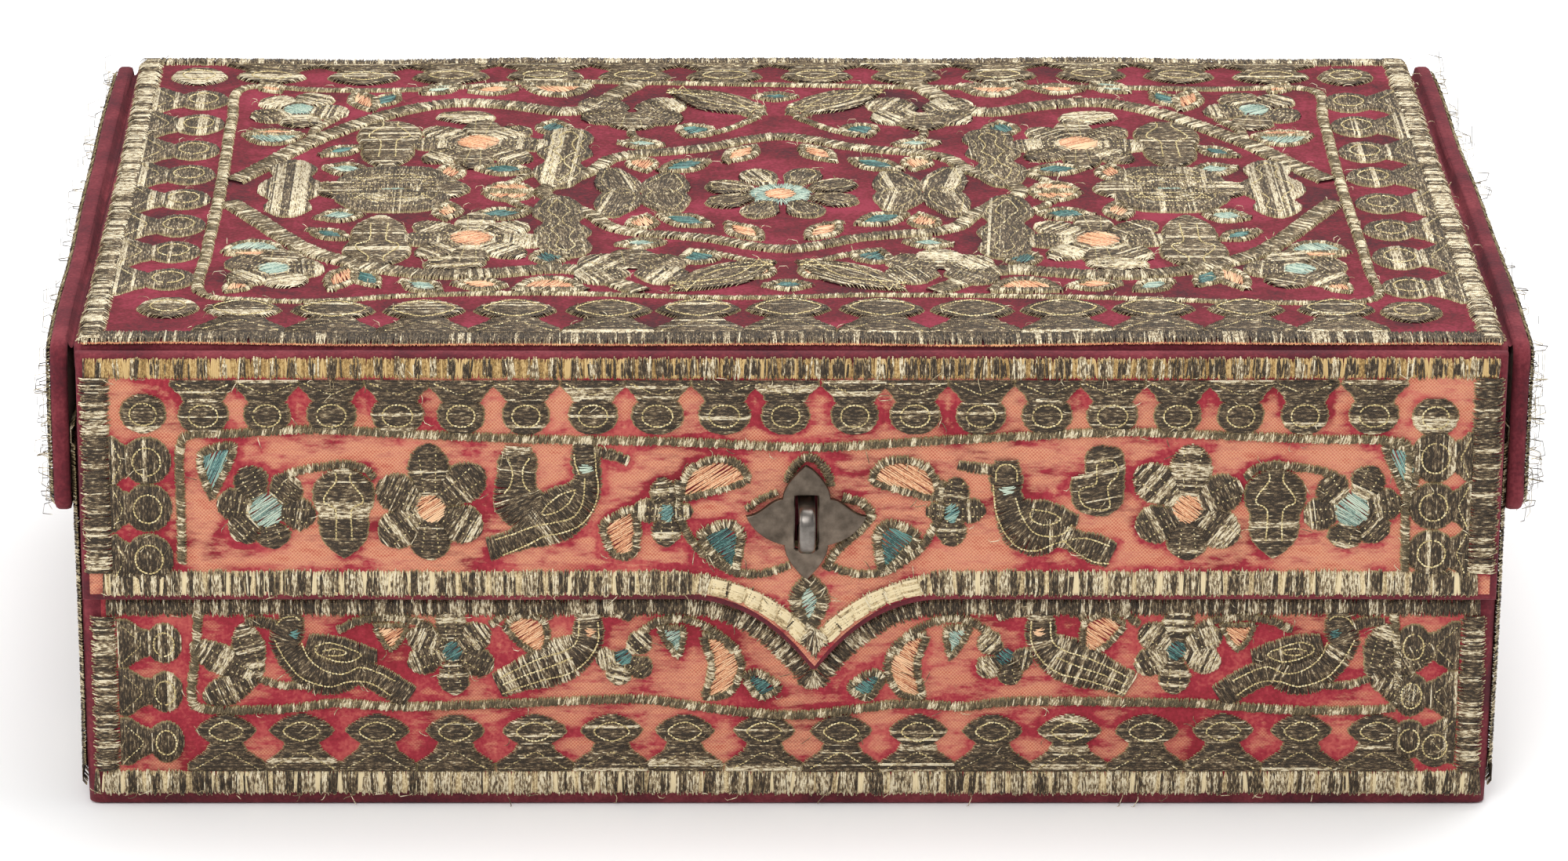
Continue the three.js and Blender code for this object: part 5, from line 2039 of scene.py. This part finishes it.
@dataclass
class CaseSkin:
    """The case's velvet wrap and the embroidered panel on its front."""

    corner: float = 3.0
    gap: float = 1.3
    top_binding: float = 5.2
    low_line: float = 6.6
    low_binding: float = 6.8
    side_binding: float = 6.4
    velvet_cell: float = 1.3
    pile_left: tuple[float, ...] = (0.5, 0.42, 0.3, 0.18, 0.18, 0.3, 0.42, 0.5)
    loose_ends: int = 200
    mirror: float = 6.6
    seed: int = 31
    point: PointedEdge = PointedEdge()

    def build(self, flap: FrontFlap) -> None:
        """Makes the wrap, the front's thread and the worn velvet between it.

        Args:
            flap: The front flap, whose lower edge the panel follows.
        """
        low, high = millimetres("case_velvet")
        inner_low, _ = millimetres("floor_lining")
        wall = abs(low[0]) + inner_low[0]
        base = Plane((0, 0, 0), (1, 0, 0), (0, 1, 0), 0.0)
        rise = [0.5 + (high[2] - 4) * i / 8 for i in range(9)]
        wrap = rim("case_velvet_wrap", base, rectangle(low[0], high[0], low[1], high[1], self.corner), [
            (1.4, 0.3), (0.3, 0.55), *[(0.0, z) for z in rise[1:]], (0.15, high[2] - 0.9),
            (0.9, high[2] - 0.15), (2.0, high[2]), (wall - 0.9, high[2]), (wall - 0.1, high[2] - 0.4),
            (wall, high[2] - 2),
        ], Look.RUBBED)
        finish_piece(wrap, "case", ("case_velvet",))
        self.plane = Side.FRONT.plane(high[1] + 0.35, 0.2)
        self.top = flap.low[2] + flap.point.depth
        bed = self.thread(high[0])
        cloth = ground("front_panel_ground", self.plane, lambda u: 7.0, lambda u: self.edge(u) + 8,
                       (-high[0] + 5, high[0] - 5), bed, self.velvet_cell, Look.WORN, self.pile_left)
        finish_piece(cloth, "case")
        finish_piece(bed.build("front_panel_thread"), "case", ("front_embroidery",))

    def edge(self, u: float) -> float:
        """Upper edge of the panel at u, just under the flap's."""
        return self.top - self.gap - self.point.drop(u)

    def thread(self, half: float) -> Bed:
        """All of the front panel's thread.

        Args:
            half: Distance from the panel's middle to its ends.

        Returns:
            The thread.
        """
        bed = Bed(self.plane, self.seed)
        needle = Needle(bed)

        def worn(p: Point) -> float:
            """The lower binding shows its cotton in short stretches."""
            return 0.94 if math.sin(p[0] * 1.02 + 1.5 * math.sin(p[0] / 9)) > 0.72 else 0.03

        for s, u in self.point.runs(half, 0.4, half - 3):
            line = np.stack([u, self.edge(u)], 1)
            bed.band(beside(line, s * self.top_binding / 2), self.top_binding, paler(BINDING, 0.35))
        bed.fan((self.point.shift, self.edge(self.point.shift)), 5.4, 215, 325, paler(BINDING, 0.4))
        v = self.low_line
        bed.band(np.array([(4 - half, v), (half - 4, v)]), self.low_binding - 0.6, PADDING)
        bed.band(np.array([(-half + 2, v), (half - 2, v)]), self.low_binding, paler(BINDING, 0.62),
                 bare=worn)
        for u in (5.6 - half, half - 5.6):
            bed.band(np.array([(u, 10), (u, 53)]), self.side_binding, paler(BINDING, 0.32))
        needle.row((-144, 10.2), (151, 10.2), 16, (16, 9.4), 6.8, 1.5, 0.42)
        for s, start, end in ((-1, 45, 18.4), (1, 18.4, 45)):
            needle.row((s * 170.8, start), (s * 170.8, end), 3, (12.2, 9.2), 7.4)
        needle.lobe((166, 17), 11, 12, 2.0)
        cord = [(-150.4, 54), (-151.4, 42), (-152.6, 30), (-148.5, 27), (-130, 27), (-115, 28.7),
                (-100, 27.8), (-70, 28.8), (-40, 29.9), (-28, 28.6), (-14, 26.6), (2, 25.5), (16, 27),
                (30, 28.7), (45, 27.8), (60, 29.3), (100, 28.8), (116, 27.6), (132, 26.6), (151, 27),
                (155.3, 29), (155.4, 42), (154, 54)]
        bed.band(curve(cord), 2.6, CORD, lean=0.3)
        for mirror in (None, self.mirror):
            self.half(Needle(bed, mirror))
        bed.fray(self.loose_ends)
        return bed

    def half(self, needle: Needle) -> None:
        """One half of the field, drawn as the left one.

        Args:
            needle: Draws its motifs.
        """
        needle.blossom((-135.4, 35.6), [(-139.4, 50.6), (-152.4, 45), (-149.4, 29.8)], None, 1.0,
                       paler(SATIN, 0.4), 0.6)
        needle.stem([(-135.4, 35.6), (-129.2, 33.6), (-120.4, 34)], 2.4)
        needle.bird((-127, 50), STANDING, False, eye=Look.TEAL)
        needle.stem([(-115.1, 48.9), (-109.5, 51.6), (-100.1, 52.6), (-92, 50.2), (-90.5, 46.5)], 2.4)
        needle.silk([(-106.3, 50.6), (-101.4, 51), (-96.4, 50.6), (-101.5, 42.8)], Look.PEACH, 1.7)
        needle.blossom((-85.8, 43.5), [(-86.3, 55.4), (-97, 48.2), (-96.9, 39.4), (-85.3, 31.4),
                                       (-75.6, 38.4), (-76.6, 49.6)], Look.TEAL, 2.6, paler(SATIN, 0.45))
        needle.stem([(-76, 50.5), (-71, 54.4), (-65, 55.6), (-60.5, 52.6)], 2.4)
        needle.silk([(-73, 50), (-67.9, 54.2), (-61.4, 51.7), (-61.5, 43.2), (-66, 42.2)], Look.PEACH, 2.1)
        needle.bird((-51, 50.8), STRIPED, True, paler(LAID, 0.35), Look.PEACH)
        needle.blossom((-42.1, 41.8), [(-35.6, 47.8), (-35.4, 37), (-44, 34), (-49, 40.6)], Look.TEAL, 2.2,
                       paler(SATIN, 0.35))
        needle.stem([(-38.1, 48.2), (-33.4, 51.2), (-28.1, 52.2), (-22.8, 50.8), (-17.5, 47.6),
                     (-14.2, 42.8)], 2.4)
        needle.silk([(-34, 49.6), (-29.8, 50.6), (-26, 49.4), (-28.1, 40.6)], Look.SKY, 2.0)
        needle.silk([(-22.6, 48.2), (-14.9, 46.8), (-11, 39.2), (-14.6, 30.8), (-22, 30.1), (-20.6, 39)],
                    Look.PEACH, 2.4)
        needle.silk([(-12, 36.2), (-7.5, 38.2), (-1.4, 33.2), (-7.5, 29.4)], Look.TEAL, 2.3)


@dataclass
class SidePanel:
    """An embroidered panel on a side that the photo doesn't show, in the same style as the front.

    `axis` is the one that the side runs along, and `lobes` counts those of a long and of a short border row.
    """

    side: Side
    axis: int
    distance: float
    lobes: tuple[int, int]
    seed: int
    binding: float = 6.8
    cord: float = 2.6
    cord_inset: float = 24.0
    velvet_cell: float = 2.0

    def build(self) -> None:
        """Makes the velvet and the thread."""
        name = f"{self.side.name.lower()}_embroidery"
        low, high = millimetres(name)
        self.half, self.low, self.high = high[self.axis], low[2], high[2]
        plane = self.side.plane(self.distance + 0.35, 0.2)
        bed = Bed(plane, self.seed)
        self.border(bed)
        middle = (self.low + self.high) / 2
        for mirror in (None, 0.0):
            self.half_field(Needle(bed, mirror), middle)
        needle = Needle(bed)
        needle.flower((0, middle), 17, 8, Look.PEACH, 4.6, 90, paler(SATIN, 0.4))
        cloth = ground(f"{name}_ground", plane, lambda u: self.low + 3, lambda u: self.high - 3,
                       (3 - self.half, self.half - 3), bed, self.velvet_cell, Look.VELVET)
        finish_piece(cloth, "case")
        finish_piece(bed.build(f"{name}_thread"), "case", (name,))

    def border(self, bed: Bed) -> None:
        """Binding, border row and cord on all four sides.

        Args:
            bed: Where the thread goes.
        """
        needle = Needle(bed)
        u, low, high = self.half, self.low, self.high
        for a, b in (((-u, low + 3.5), (u, low + 3.5)), ((-u, high - 3.5), (u, high - 3.5)),
                     ((3.5 - u, low + 6), (3.5 - u, high - 6)), ((u - 3.5, low + 6), (u - 3.5, high - 6))):
            bed.band(np.array([a, b]), self.binding, paler(BINDING, 0.4))
        long, short = self.lobes
        end = u - 32
        needle.row((-end, low + 7), (end, low + 7), long, (15, 11), 5.4, 1.8)
        needle.row((end, high - 7), (-end, high - 7), long, (15, 11), 5.4, 1.8)
        inset = self.cord_inset
        needle.row((-u + 7, high - inset), (-u + 7, low + inset), short, (13, 11), 5.4)
        needle.row((u - 7, low + inset), (u - 7, high - inset), short, (13, 11), 5.4)
        for su in (-1, 1):
            for v in (low + 14, high - 14):
                needle.lobe((su * (u - 15), v), 11, 11, 2.0)
        cord = rectangle(-u + inset, u - inset, low + inset, high - inset, 2.5)(0)
        bed.band(cord, self.cord, CORD, closed=True, lean=0.3)

    def half_field(self, needle: Needle, middle: float) -> None:
        """One half of the field: a bird between leaves, and a flower near the end.

        Args:
            needle: Draws its motifs.
            middle: Height of the field's middle.
        """
        end = self.half - 42
        needle.flower((-end, middle), 12.5, 6, Look.TEAL, 3.2, 90, paler(SATIN, 0.35))
        needle.bird((-end * 0.42, middle + 9), STANDING, True, paler(LAID, 0.15))
        needle.leaf((-end * 0.76, middle + 10), 12, 8, -40, Look.SKY)
        needle.leaf((-end * 0.78, middle - 11), 12, 8, 35, Look.PEACH)
        needle.leaf((-24, middle + 12), 13, 9, 30, Look.TEAL)
        needle.leaf((-23, middle - 13), 13, 9, -30, Look.SKY)
        needle.stem([(-end * 0.86, middle - 4), (-end * 0.7, middle - 2), (-end * 0.66, middle - 10)], 2.4)


@dataclass
class SideFlap:
    """A side flap: a card in velvet, with its thread, its frayed edge and its lining."""

    side: Side
    body: str
    seed: int
    corner: float = 5.0
    binding: float = 6.8
    cord: float = 2.4
    velvet_cell: float = 2.0
    loose_ends: int = 170

    def build(self) -> None:
        """Makes the velvet, the thread, the lining and the loose ends."""
        low, high = millimetres(f"{self.body}_velvet")
        distance = max(abs(low[0]), abs(high[0]))
        thickness = high[0] - low[0]
        half = high[1]
        plane = self.side.plane(distance, 0.35)
        outline = rectangle(-half, half, low[2], high[2], self.corner)
        cover = rim(f"{self.body}_velvet_edge", plane, outline, turned_edge(thickness), Look.RUBBED)
        bed = self.thread(plane, half - 1, low[2] + 1, high[2] - 1)
        cloth = ground(f"{self.body}_ground", plane, lambda u: low[2] + 2.5, lambda u: high[2] - 2.5,
                       (2.5 - half, half - 2.5), bed, self.velvet_cell, Look.VELVET)
        in_low, in_high = millimetres(f"{self.body}_lining")
        lining = quilt(f"{self.body}_lining_cloth", self.side.behind(max(abs(in_low[0]), abs(in_high[0]))),
                       (in_low[1], in_high[1]), (in_low[2], in_high[2]), in_high[0] - in_low[0])
        finish_piece(cover, self.body, (f"{self.body}_velvet",))
        finish_piece(cloth, self.body)
        finish_piece(lining, self.body, (f"{self.body}_lining",))
        finish_piece(bed.build(f"{self.body}_thread"), self.body,
                     (f"{self.body}_embroidery",))

    def thread(self, plane: Plane, half: float, low: float, high: float) -> Bed:
        """Binding, small lobes, cord and a running stem, with loose ends round the edge.

        Args:
            plane: Side that it lies on.
            half: Distance from the flap's middle to its ends.
            low: Its lower edge.
            high: Its upper edge.

        Returns:
            The thread.
        """
        bed = Bed(plane, self.seed)
        needle = Needle(bed)
        edge = rectangle(-half, half, low, high, self.corner)
        bed.band(edge(3.5), self.binding, paler(BINDING, 0.32), closed=True)
        needle.row((-half + 24, low + 7), (half - 24, low + 7), 13, (11, 7), 2.6)
        needle.row((half - 24, high - 7), (-half + 24, high - 7), 13, (11, 7), 2.6)
        bed.band(edge(17), self.cord, CORD, closed=True, lean=0.3)
        middle = (low + high) / 2
        wave = [(u, middle + 1.6 * math.sin(u / 9)) for u in np.arange(-half + 26, half - 25, 6.0)]
        needle.stem(wave, 1.6)
        for s in (-1, 1):
            needle.leaf((s * (half - 11), middle), 12, 8, 90, Look.PEACH, rim=1.8)
        line = edge(0.6)
        for _ in range(self.loose_ends):
            i = bed.random.randrange(len(line))
            reach = bed.random.uniform(3.0, 9.0)
            turn = bed.random.uniform(0, 2 * math.pi)
            end = line[i] + reach * np.array([math.cos(turn), math.sin(turn)])
            loose = Lay(width=0.24, crown=bed.random.uniform(1.0, 4.5), ramp=3.0, bright=0.6, stray=0.3)
            bed.stitch(tuple(line[i]), tuple(end), loose, 1.0, 0.3, 1.2)
        return bed


@dataclass
class Hinges:
    """The cloth in the creases beside the flaps, and the one over the joint at the back."""

    sag: float = 2.4
    tuck: float = 0.4
    blend_half: float = 3.0

    def build(self) -> None:
        """Makes the four cloths where they lie at rest, and hides the solids that they stand for."""
        _, lid_high = millimetres("lid_velvet")
        top = lid_high[2]
        for side in (Side.FRONT, Side.LEFT, Side.RIGHT):
            name = side.name.lower()
            flap_low, flap_high = millimetres(f"{name}_flap_velvet")
            axis = 1 if side is Side.FRONT else 0
            edge, half = lid_high[axis], lid_high[1 - axis] - 6
            inner = min(abs(flap_low[axis]), abs(flap_high[axis]))
            crease = self.crease(side, name, edge, inner, half, top)
            out = np.array(side.value[1], float)
            start, end = out * (edge + 0.2) * MM, out * (inner - 0.1) * MM
            start[2] = end[2] = (top - 0.6) * MM
            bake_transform(crease)
            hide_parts(f"{name}_hinge_cloth")
        self.back()

    def crease(self, side: Side, name: str, edge: float, inner: float, half: float,
               top: float) -> bpy.types.Object:
        """A narrow trough of velvet between the lid's edge and a flap.

        Args:
            side: Which side it is on.
            name: Name of that side.
            edge: Distance of the lid's edge from the middle.
            inner: Distance of the flap's inner face.
            half: Half of its length.
            top: Height of the lid's velvet.

        Returns:
            The piece.
        """
        plane = side.plane(0, 0.0)

        def spots(s: np.ndarray, t: np.ndarray) -> np.ndarray:
            """A trough whose depth changes a little along it.

            Args:
                s: Shares of the grid in its first direction.
                t: Shares of the grid in its second direction.

            Returns:
                Their places in metres.
            """
            u = (1 - 2 * s) * half
            out = edge - self.tuck + t * (inner - edge + 2 * self.tuck)
            depth = self.sag * (1 + 0.3 * np.sin(u / 17)) * np.sin(math.pi * t) + 0.5
            return plane.place(u, top - depth, out)

        return nap(bent_grid(f"{name}_crease_cloth", 110, 8, spots, Look.RUBBED), 0.4)

    def back(self) -> None:
        """The velvet strip over the joint at the back."""
        low, high = millimetres("back_hinge_cloth")
        plane = Side.BACK.plane(low[1], 0.0)

        def spots(s: np.ndarray, t: np.ndarray) -> np.ndarray:
            """A strip with thin edges.

            Args:
                s: Shares of the grid in its first direction.
                t: Shares of the grid in its second direction.

            Returns:
                Their places in metres.
            """
            edge = np.maximum(np.abs(2 * s - 1) ** 60, np.abs(2 * t - 1) ** 10)
            u = low[0] + s * (high[0] - low[0])
            return plane.place(u, low[2] + t * (high[2] - low[2]), (high[1] - low[1]) * (1 - edge))

        strip = nap(bent_grid("back_joint_cloth", 90, 34, spots, Look.VELVET), 0.55)
        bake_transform(strip)
        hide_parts("back_hinge_cloth")


class Linings:
    """The cloth inside the case and the lid, and under the case."""

    def build(self) -> None:
        """Makes one sheet for each lining."""
        self.flat("floor_lining", "floor_lining_cloth", "case", 1, 0.2)
        for side in Side:
            name = side.name.lower()
            low, high = millimetres(f"{name}_lining")
            axis = 1 if side in (Side.FRONT, Side.BACK) else 0
            along = 1 - axis
            piece = quilt(f"{name}_lining_cloth", side.behind(max(abs(low[axis]), abs(high[axis]))),
                          (low[along], high[along]), (low[2], high[2]), high[axis] - low[axis])
            finish_piece(piece, "case", (f"{name}_lining",))
        self.flat("lid_lining", "lid_lining_cloth", "lid", -1, 0.2)
        self.flat("underside_cover", "underside_cloth", "case", -1, 0.0)

    def flat(self, node: str, name: str, body: str, up: int, sway: float) -> None:
        """Makes a level sheet.

        Args:
            node: Solid that it stands for.
            name: Name of the piece.
            body: Body that it rides on.
            up: 1 if it faces up, or -1 if it faces down.
            sway: How far it is from flat.
        """
        low, high = millimetres(node)
        plane = Plane((0, 0, (low if up > 0 else high)[2]), (1, 0, 0), (0, up, 0), sway)
        rise = tuple(sorted((up * low[1], up * high[1])))
        finish_piece(quilt(name, plane, (low[0], high[0]), rise, high[2] - low[2]), body,
                     (node,))


@dataclass
class Lock:
    """The pewter escutcheon, the staple through its slot and the plate behind it."""

    slot: Point = (5.8, 14.6)
    thickness: float = 1.2
    bevel: float = 0.5
    bar: float = 2.9
    staple_width: float = 4.3
    leg_half: float = 6.4
    corner: float = 3.4
    squareness: float = 0.62
    crown: tuple = ((0.39, 0.42), (0.39, 0.62), (0.22, 0.82), (0.02, 1.0))
    shoulder: tuple = ((0.99, 0.11), (0.71, 0.14), (0.62, 0.4), (0.39, 0.42))
    belly: tuple = ((0.99, 0.11), (0.88, -0.17), (0.62, -0.35), (0.36, -0.4))
    foot: tuple = ((0.36, -0.4), (0.36, -0.62), (0.16, -0.86), (0.02, -1.0))

    def build(self) -> None:
        """Makes the plate and the staple, and finishes the plate inside the case."""
        self.low, self.high = millimetres("escutcheon")
        staple_low, staple_high = millimetres("staple")
        self.middle = np.array([(staple_low[0] + staple_high[0]) / 2, (staple_low[2] + staple_high[2]) / 2])
        finish_piece(self.plate(), "front_flap", ("escutcheon",))
        finish_piece(self.staple(staple_low, staple_high), "case", ("staple",))
        dress("staple_back_plate", Look.PEWTER)

    def flank(self, shares: tuple, side: int, turned: bool = False) -> np.ndarray:
        """One curve of the outline, from shares of the plate's reach.

        Args:
            shares: The curve's four control points.
            side: 1 on the right, -1 on the left.
            turned: Whether the points run the other way.

        Returns:
            The points, without the last one.
        """
        reach = (self.high[2] - self.low[2]) / 2
        p = np.array([(side * x * reach, y * reach) for x, y in shares])
        t = np.linspace(0, 1, 11)[:, None]
        line = (1 - t) ** 3 * p[0] + 3 * (1 - t) ** 2 * t * p[1] + 3 * (1 - t) * t ** 2 * p[2] + t ** 3 * p[3]
        return line[::-1][:-1] if turned else line[:-1]

    def plate(self) -> bpy.types.Object:
        """The four-lobed plate, bevelled all round, with its slot.

        Returns:
            The piece.
        """
        outline = np.vstack([
            self.flank(self.shoulder, 1), self.flank(self.crown, 1),
            self.flank(self.crown, -1, True), self.flank(self.shoulder, -1, True),
            self.flank(self.belly, -1), self.flank(self.foot, -1),
            self.flank(self.foot, 1, True), self.flank(self.belly, 1, True),
        ])
        angle = np.arctan2(outline[:, 1], outline[:, 0])
        c, s = np.maximum(np.abs(np.cos(angle)), 1e-3), np.maximum(np.abs(np.sin(angle)), 1e-3)
        reach = np.minimum(self.slot[0] / 2 / c, self.slot[1] / 2 / s)
        slot = reach[:, None] * np.stack([np.cos(angle), np.sin(angle)], 1)
        top = self.thickness
        rings = [
            (slot, 0.0), (slot, top - 0.3), (shrunk(slot, -0.3), top), (shrunk(outline, self.bevel), top),
            (shrunk(outline, self.bevel * 0.3), top - 0.16), (outline, top - self.bevel), (outline, 0.0),
        ]
        points = np.array([np.vstack([ring, ring[:1]]) for ring, _ in rings + rings[:1]])
        heights = np.array([h for _, h in rings + rings[:1]])
        plane = Plane((self.middle[0], self.low[1] + top, self.middle[1]), (1, 0, 0), (0, 0, 1), 0.0)

        def spots(s: np.ndarray, t: np.ndarray) -> np.ndarray:
            """A point of one of the rings.

            Args:
                s: Shares of the grid in its first direction.
                t: Shares of the grid in its second direction.

            Returns:
                Their places in metres.
            """
            i = np.rint(s * len(outline)).astype(int)
            k = np.rint(t * len(rings)).astype(int)
            spot = points[k, i]
            return plane.place(spot[:, 0], spot[:, 1], heights[k])

        piece = bent_grid("escutcheon_plate", len(outline), len(rings), spots, Look.PEWTER, closed=True)
        sharp = piece.modifiers.new("sharp_edges", "EDGE_SPLIT")
        sharp.split_angle = math.radians(32)
        return piece

    def staple(self, low: np.ndarray, high: np.ndarray) -> bpy.types.Object:
        """The bar bent twice, whose legs run through the case's front and are clenched inside.

        Args:
            low: Lowest corner of its solid.
            high: Highest corner of its solid.

        Returns:
            The piece.
        """
        half = self.bar / 2
        nose, inside = low[1] + half, high[1] - 0.7
        reach = self.leg_half - half
        tip = (high[2] - low[2]) / 2 - half
        corner = [(nose + self.corner * (1 - math.sin(a)), reach - self.corner * (1 - math.cos(a)))
                  for a in np.linspace(0, math.pi / 2, 7)]
        clenched = [(inside, tip), (inside, reach + 1.2), (inside - 0.4, reach + 0.3), (inside - 1.4, reach)]
        upper = clenched + corner
        line = np.array(upper + [(y, -z) for y, z in upper[::-1]])

        def spots(s: np.ndarray, t: np.ndarray) -> np.ndarray:
            """A bar with a soft rectangular section, flattened towards its clenched ends.

            Args:
                s: Shares of the grid in its first direction.
                t: Shares of the grid in its second direction.

            Returns:
                Their places in metres.
            """
            at = s * reached(line)[-1]
            p = spots_on(line, at)
            side = left_of(unit(spots_on(line, at + 0.8) - spots_on(line, at - 0.8)))
            angle = t * 2 * math.pi
            c, n = np.cos(angle), np.sin(angle)
            thin = np.where(p[:, 0] > inside - 1.0, 0.5, 1.0)
            across = self.staple_width / 2 * np.sign(c) * np.abs(c) ** self.squareness
            deep = half * thin * np.sign(n) * np.abs(n) ** self.squareness
            spot = p + side * deep[:, None]
            return np.stack([self.middle[0] + across, spot[:, 0], self.middle[1] + spot[:, 1]], 1) * MM

        return bent_grid("staple_bar", 70, 20, spots, Look.STEEL, closed=True)


@dataclass
class Studio:
    """The pale floor, the soft light and the camera."""

    camera_at: Spot = (-0.0389, -1.6292, 0.6883)
    tilt: float = 68.86
    lens: float = 147.8
    sideways: float = 0.0943
    sensor: float = 36.0
    floor_colour: str = "fbfbfb"
    floor_half: float = 6.0
    daylight: float = 0.52
    target: Spot = (0, 0, 0.05)
    lamps: tuple = (
        ("over_front", (-0.5, -1.6, 1.5), 1.2, 22),
        ("over_top", (0.3, 0.5, 1.8), 1.4, 28),
        ("left_fill", (-1.9, -0.5, 0.9), 1.0, 10),
        ("right_fill", (1.9, -0.3, 1.0), 1.0, 6),
    )

    def build(self) -> None:
        """Sets the room up round the casket."""
        bm = bmesh.new()
        bmesh.ops.create_grid(bm, x_segments=1, y_segments=1, size=self.floor_half)
        mesh = bpy.data.meshes.new("floor")
        bm.to_mesh(mesh)
        bm.free()
        floor = new_object("floor", mesh, None)
        material, _, _ = Finish("pale_matt_paper", roughness=0.9).shader(linear(self.floor_colour))
        mesh.materials.append(material)
        world = bpy.data.worlds.new("studio")
        bpy.context.scene.world = world
        world.use_nodes = True
        sky = world.node_tree.nodes["Background"]
        sky.inputs["Color"].default_value = (1, 1, 1, 1)
        sky.inputs["Strength"].default_value = self.daylight
        for lamp in self.lamps:
            self.light(*lamp)
        self.camera()
        bpy.context.scene.view_settings.view_transform = "Standard"

    def light(self, name: str, at: Spot, size: float, power: float) -> None:
        """Adds a soft square light turned to the casket.

        Args:
            name: Its name.
            at: Its place in metres.
            size: Its side in metres.
            power: Its power in watts.
        """
        data = bpy.data.lights.new(name, "AREA")
        data.size = size
        data.energy = power
        lamp = bpy.data.objects.new(name, data)
        lamp.location = at
        lamp.rotation_euler = (Vector(self.target) - Vector(at)).to_track_quat("-Z", "Y").to_euler()
        bpy.context.scene.collection.objects.link(lamp)

    def camera(self) -> None:
        """Adds the camera at the photo's place, fitted to the casket's corners there."""
        data = bpy.data.cameras.new("camera")
        data.lens = self.lens
        data.sensor_width = self.sensor
        data.shift_x = self.sideways
        camera = bpy.data.objects.new("camera", data)
        camera.location = self.camera_at
        camera.rotation_euler = (math.radians(self.tilt), 0, 0)
        bpy.context.scene.collection.objects.link(camera)
        bpy.context.scene.camera = camera


def dress_boards() -> None:
    """Gives the wood and the cards their finish."""
    walls = ("base_board", "front_wall", "back_wall", "left_wall", "right_wall")
    rails = ("lid_board", "lid_front_rail", "lid_back_rail", "lid_left_rail", "lid_right_rail")
    for node in walls + rails:
        dress(node, Look.WOOD)
    for node in ("front_flap_board", "left_flap_board", "right_flap_board"):
        dress(node, Look.CARD)


def main() -> None:
    """Builds the casket from its case outwards, then the room."""
    logging.basicConfig(level=logging.INFO, format="%(name)s %(message)s")
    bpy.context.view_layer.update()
    dress_boards()
    flap = FrontFlap()
    flap.build()
    LidTop().build()
    CaseSkin().build(flap)
    SidePanel(Side.BACK, 0, 116.5, (14, 3), 41).build()
    SidePanel(Side.LEFT, 1, 180.15, (8, 4), 42).build()
    SidePanel(Side.RIGHT, 1, 180.15, (8, 4), 43).build()
    SideFlap(Side.LEFT, "left_flap", 51).build()
    SideFlap(Side.RIGHT, "right_flap", 52).build()
    for group in (Hinges(), Linings(), Lock(), Studio()):
        group.build()


if __name__ == "__main__":
    main()
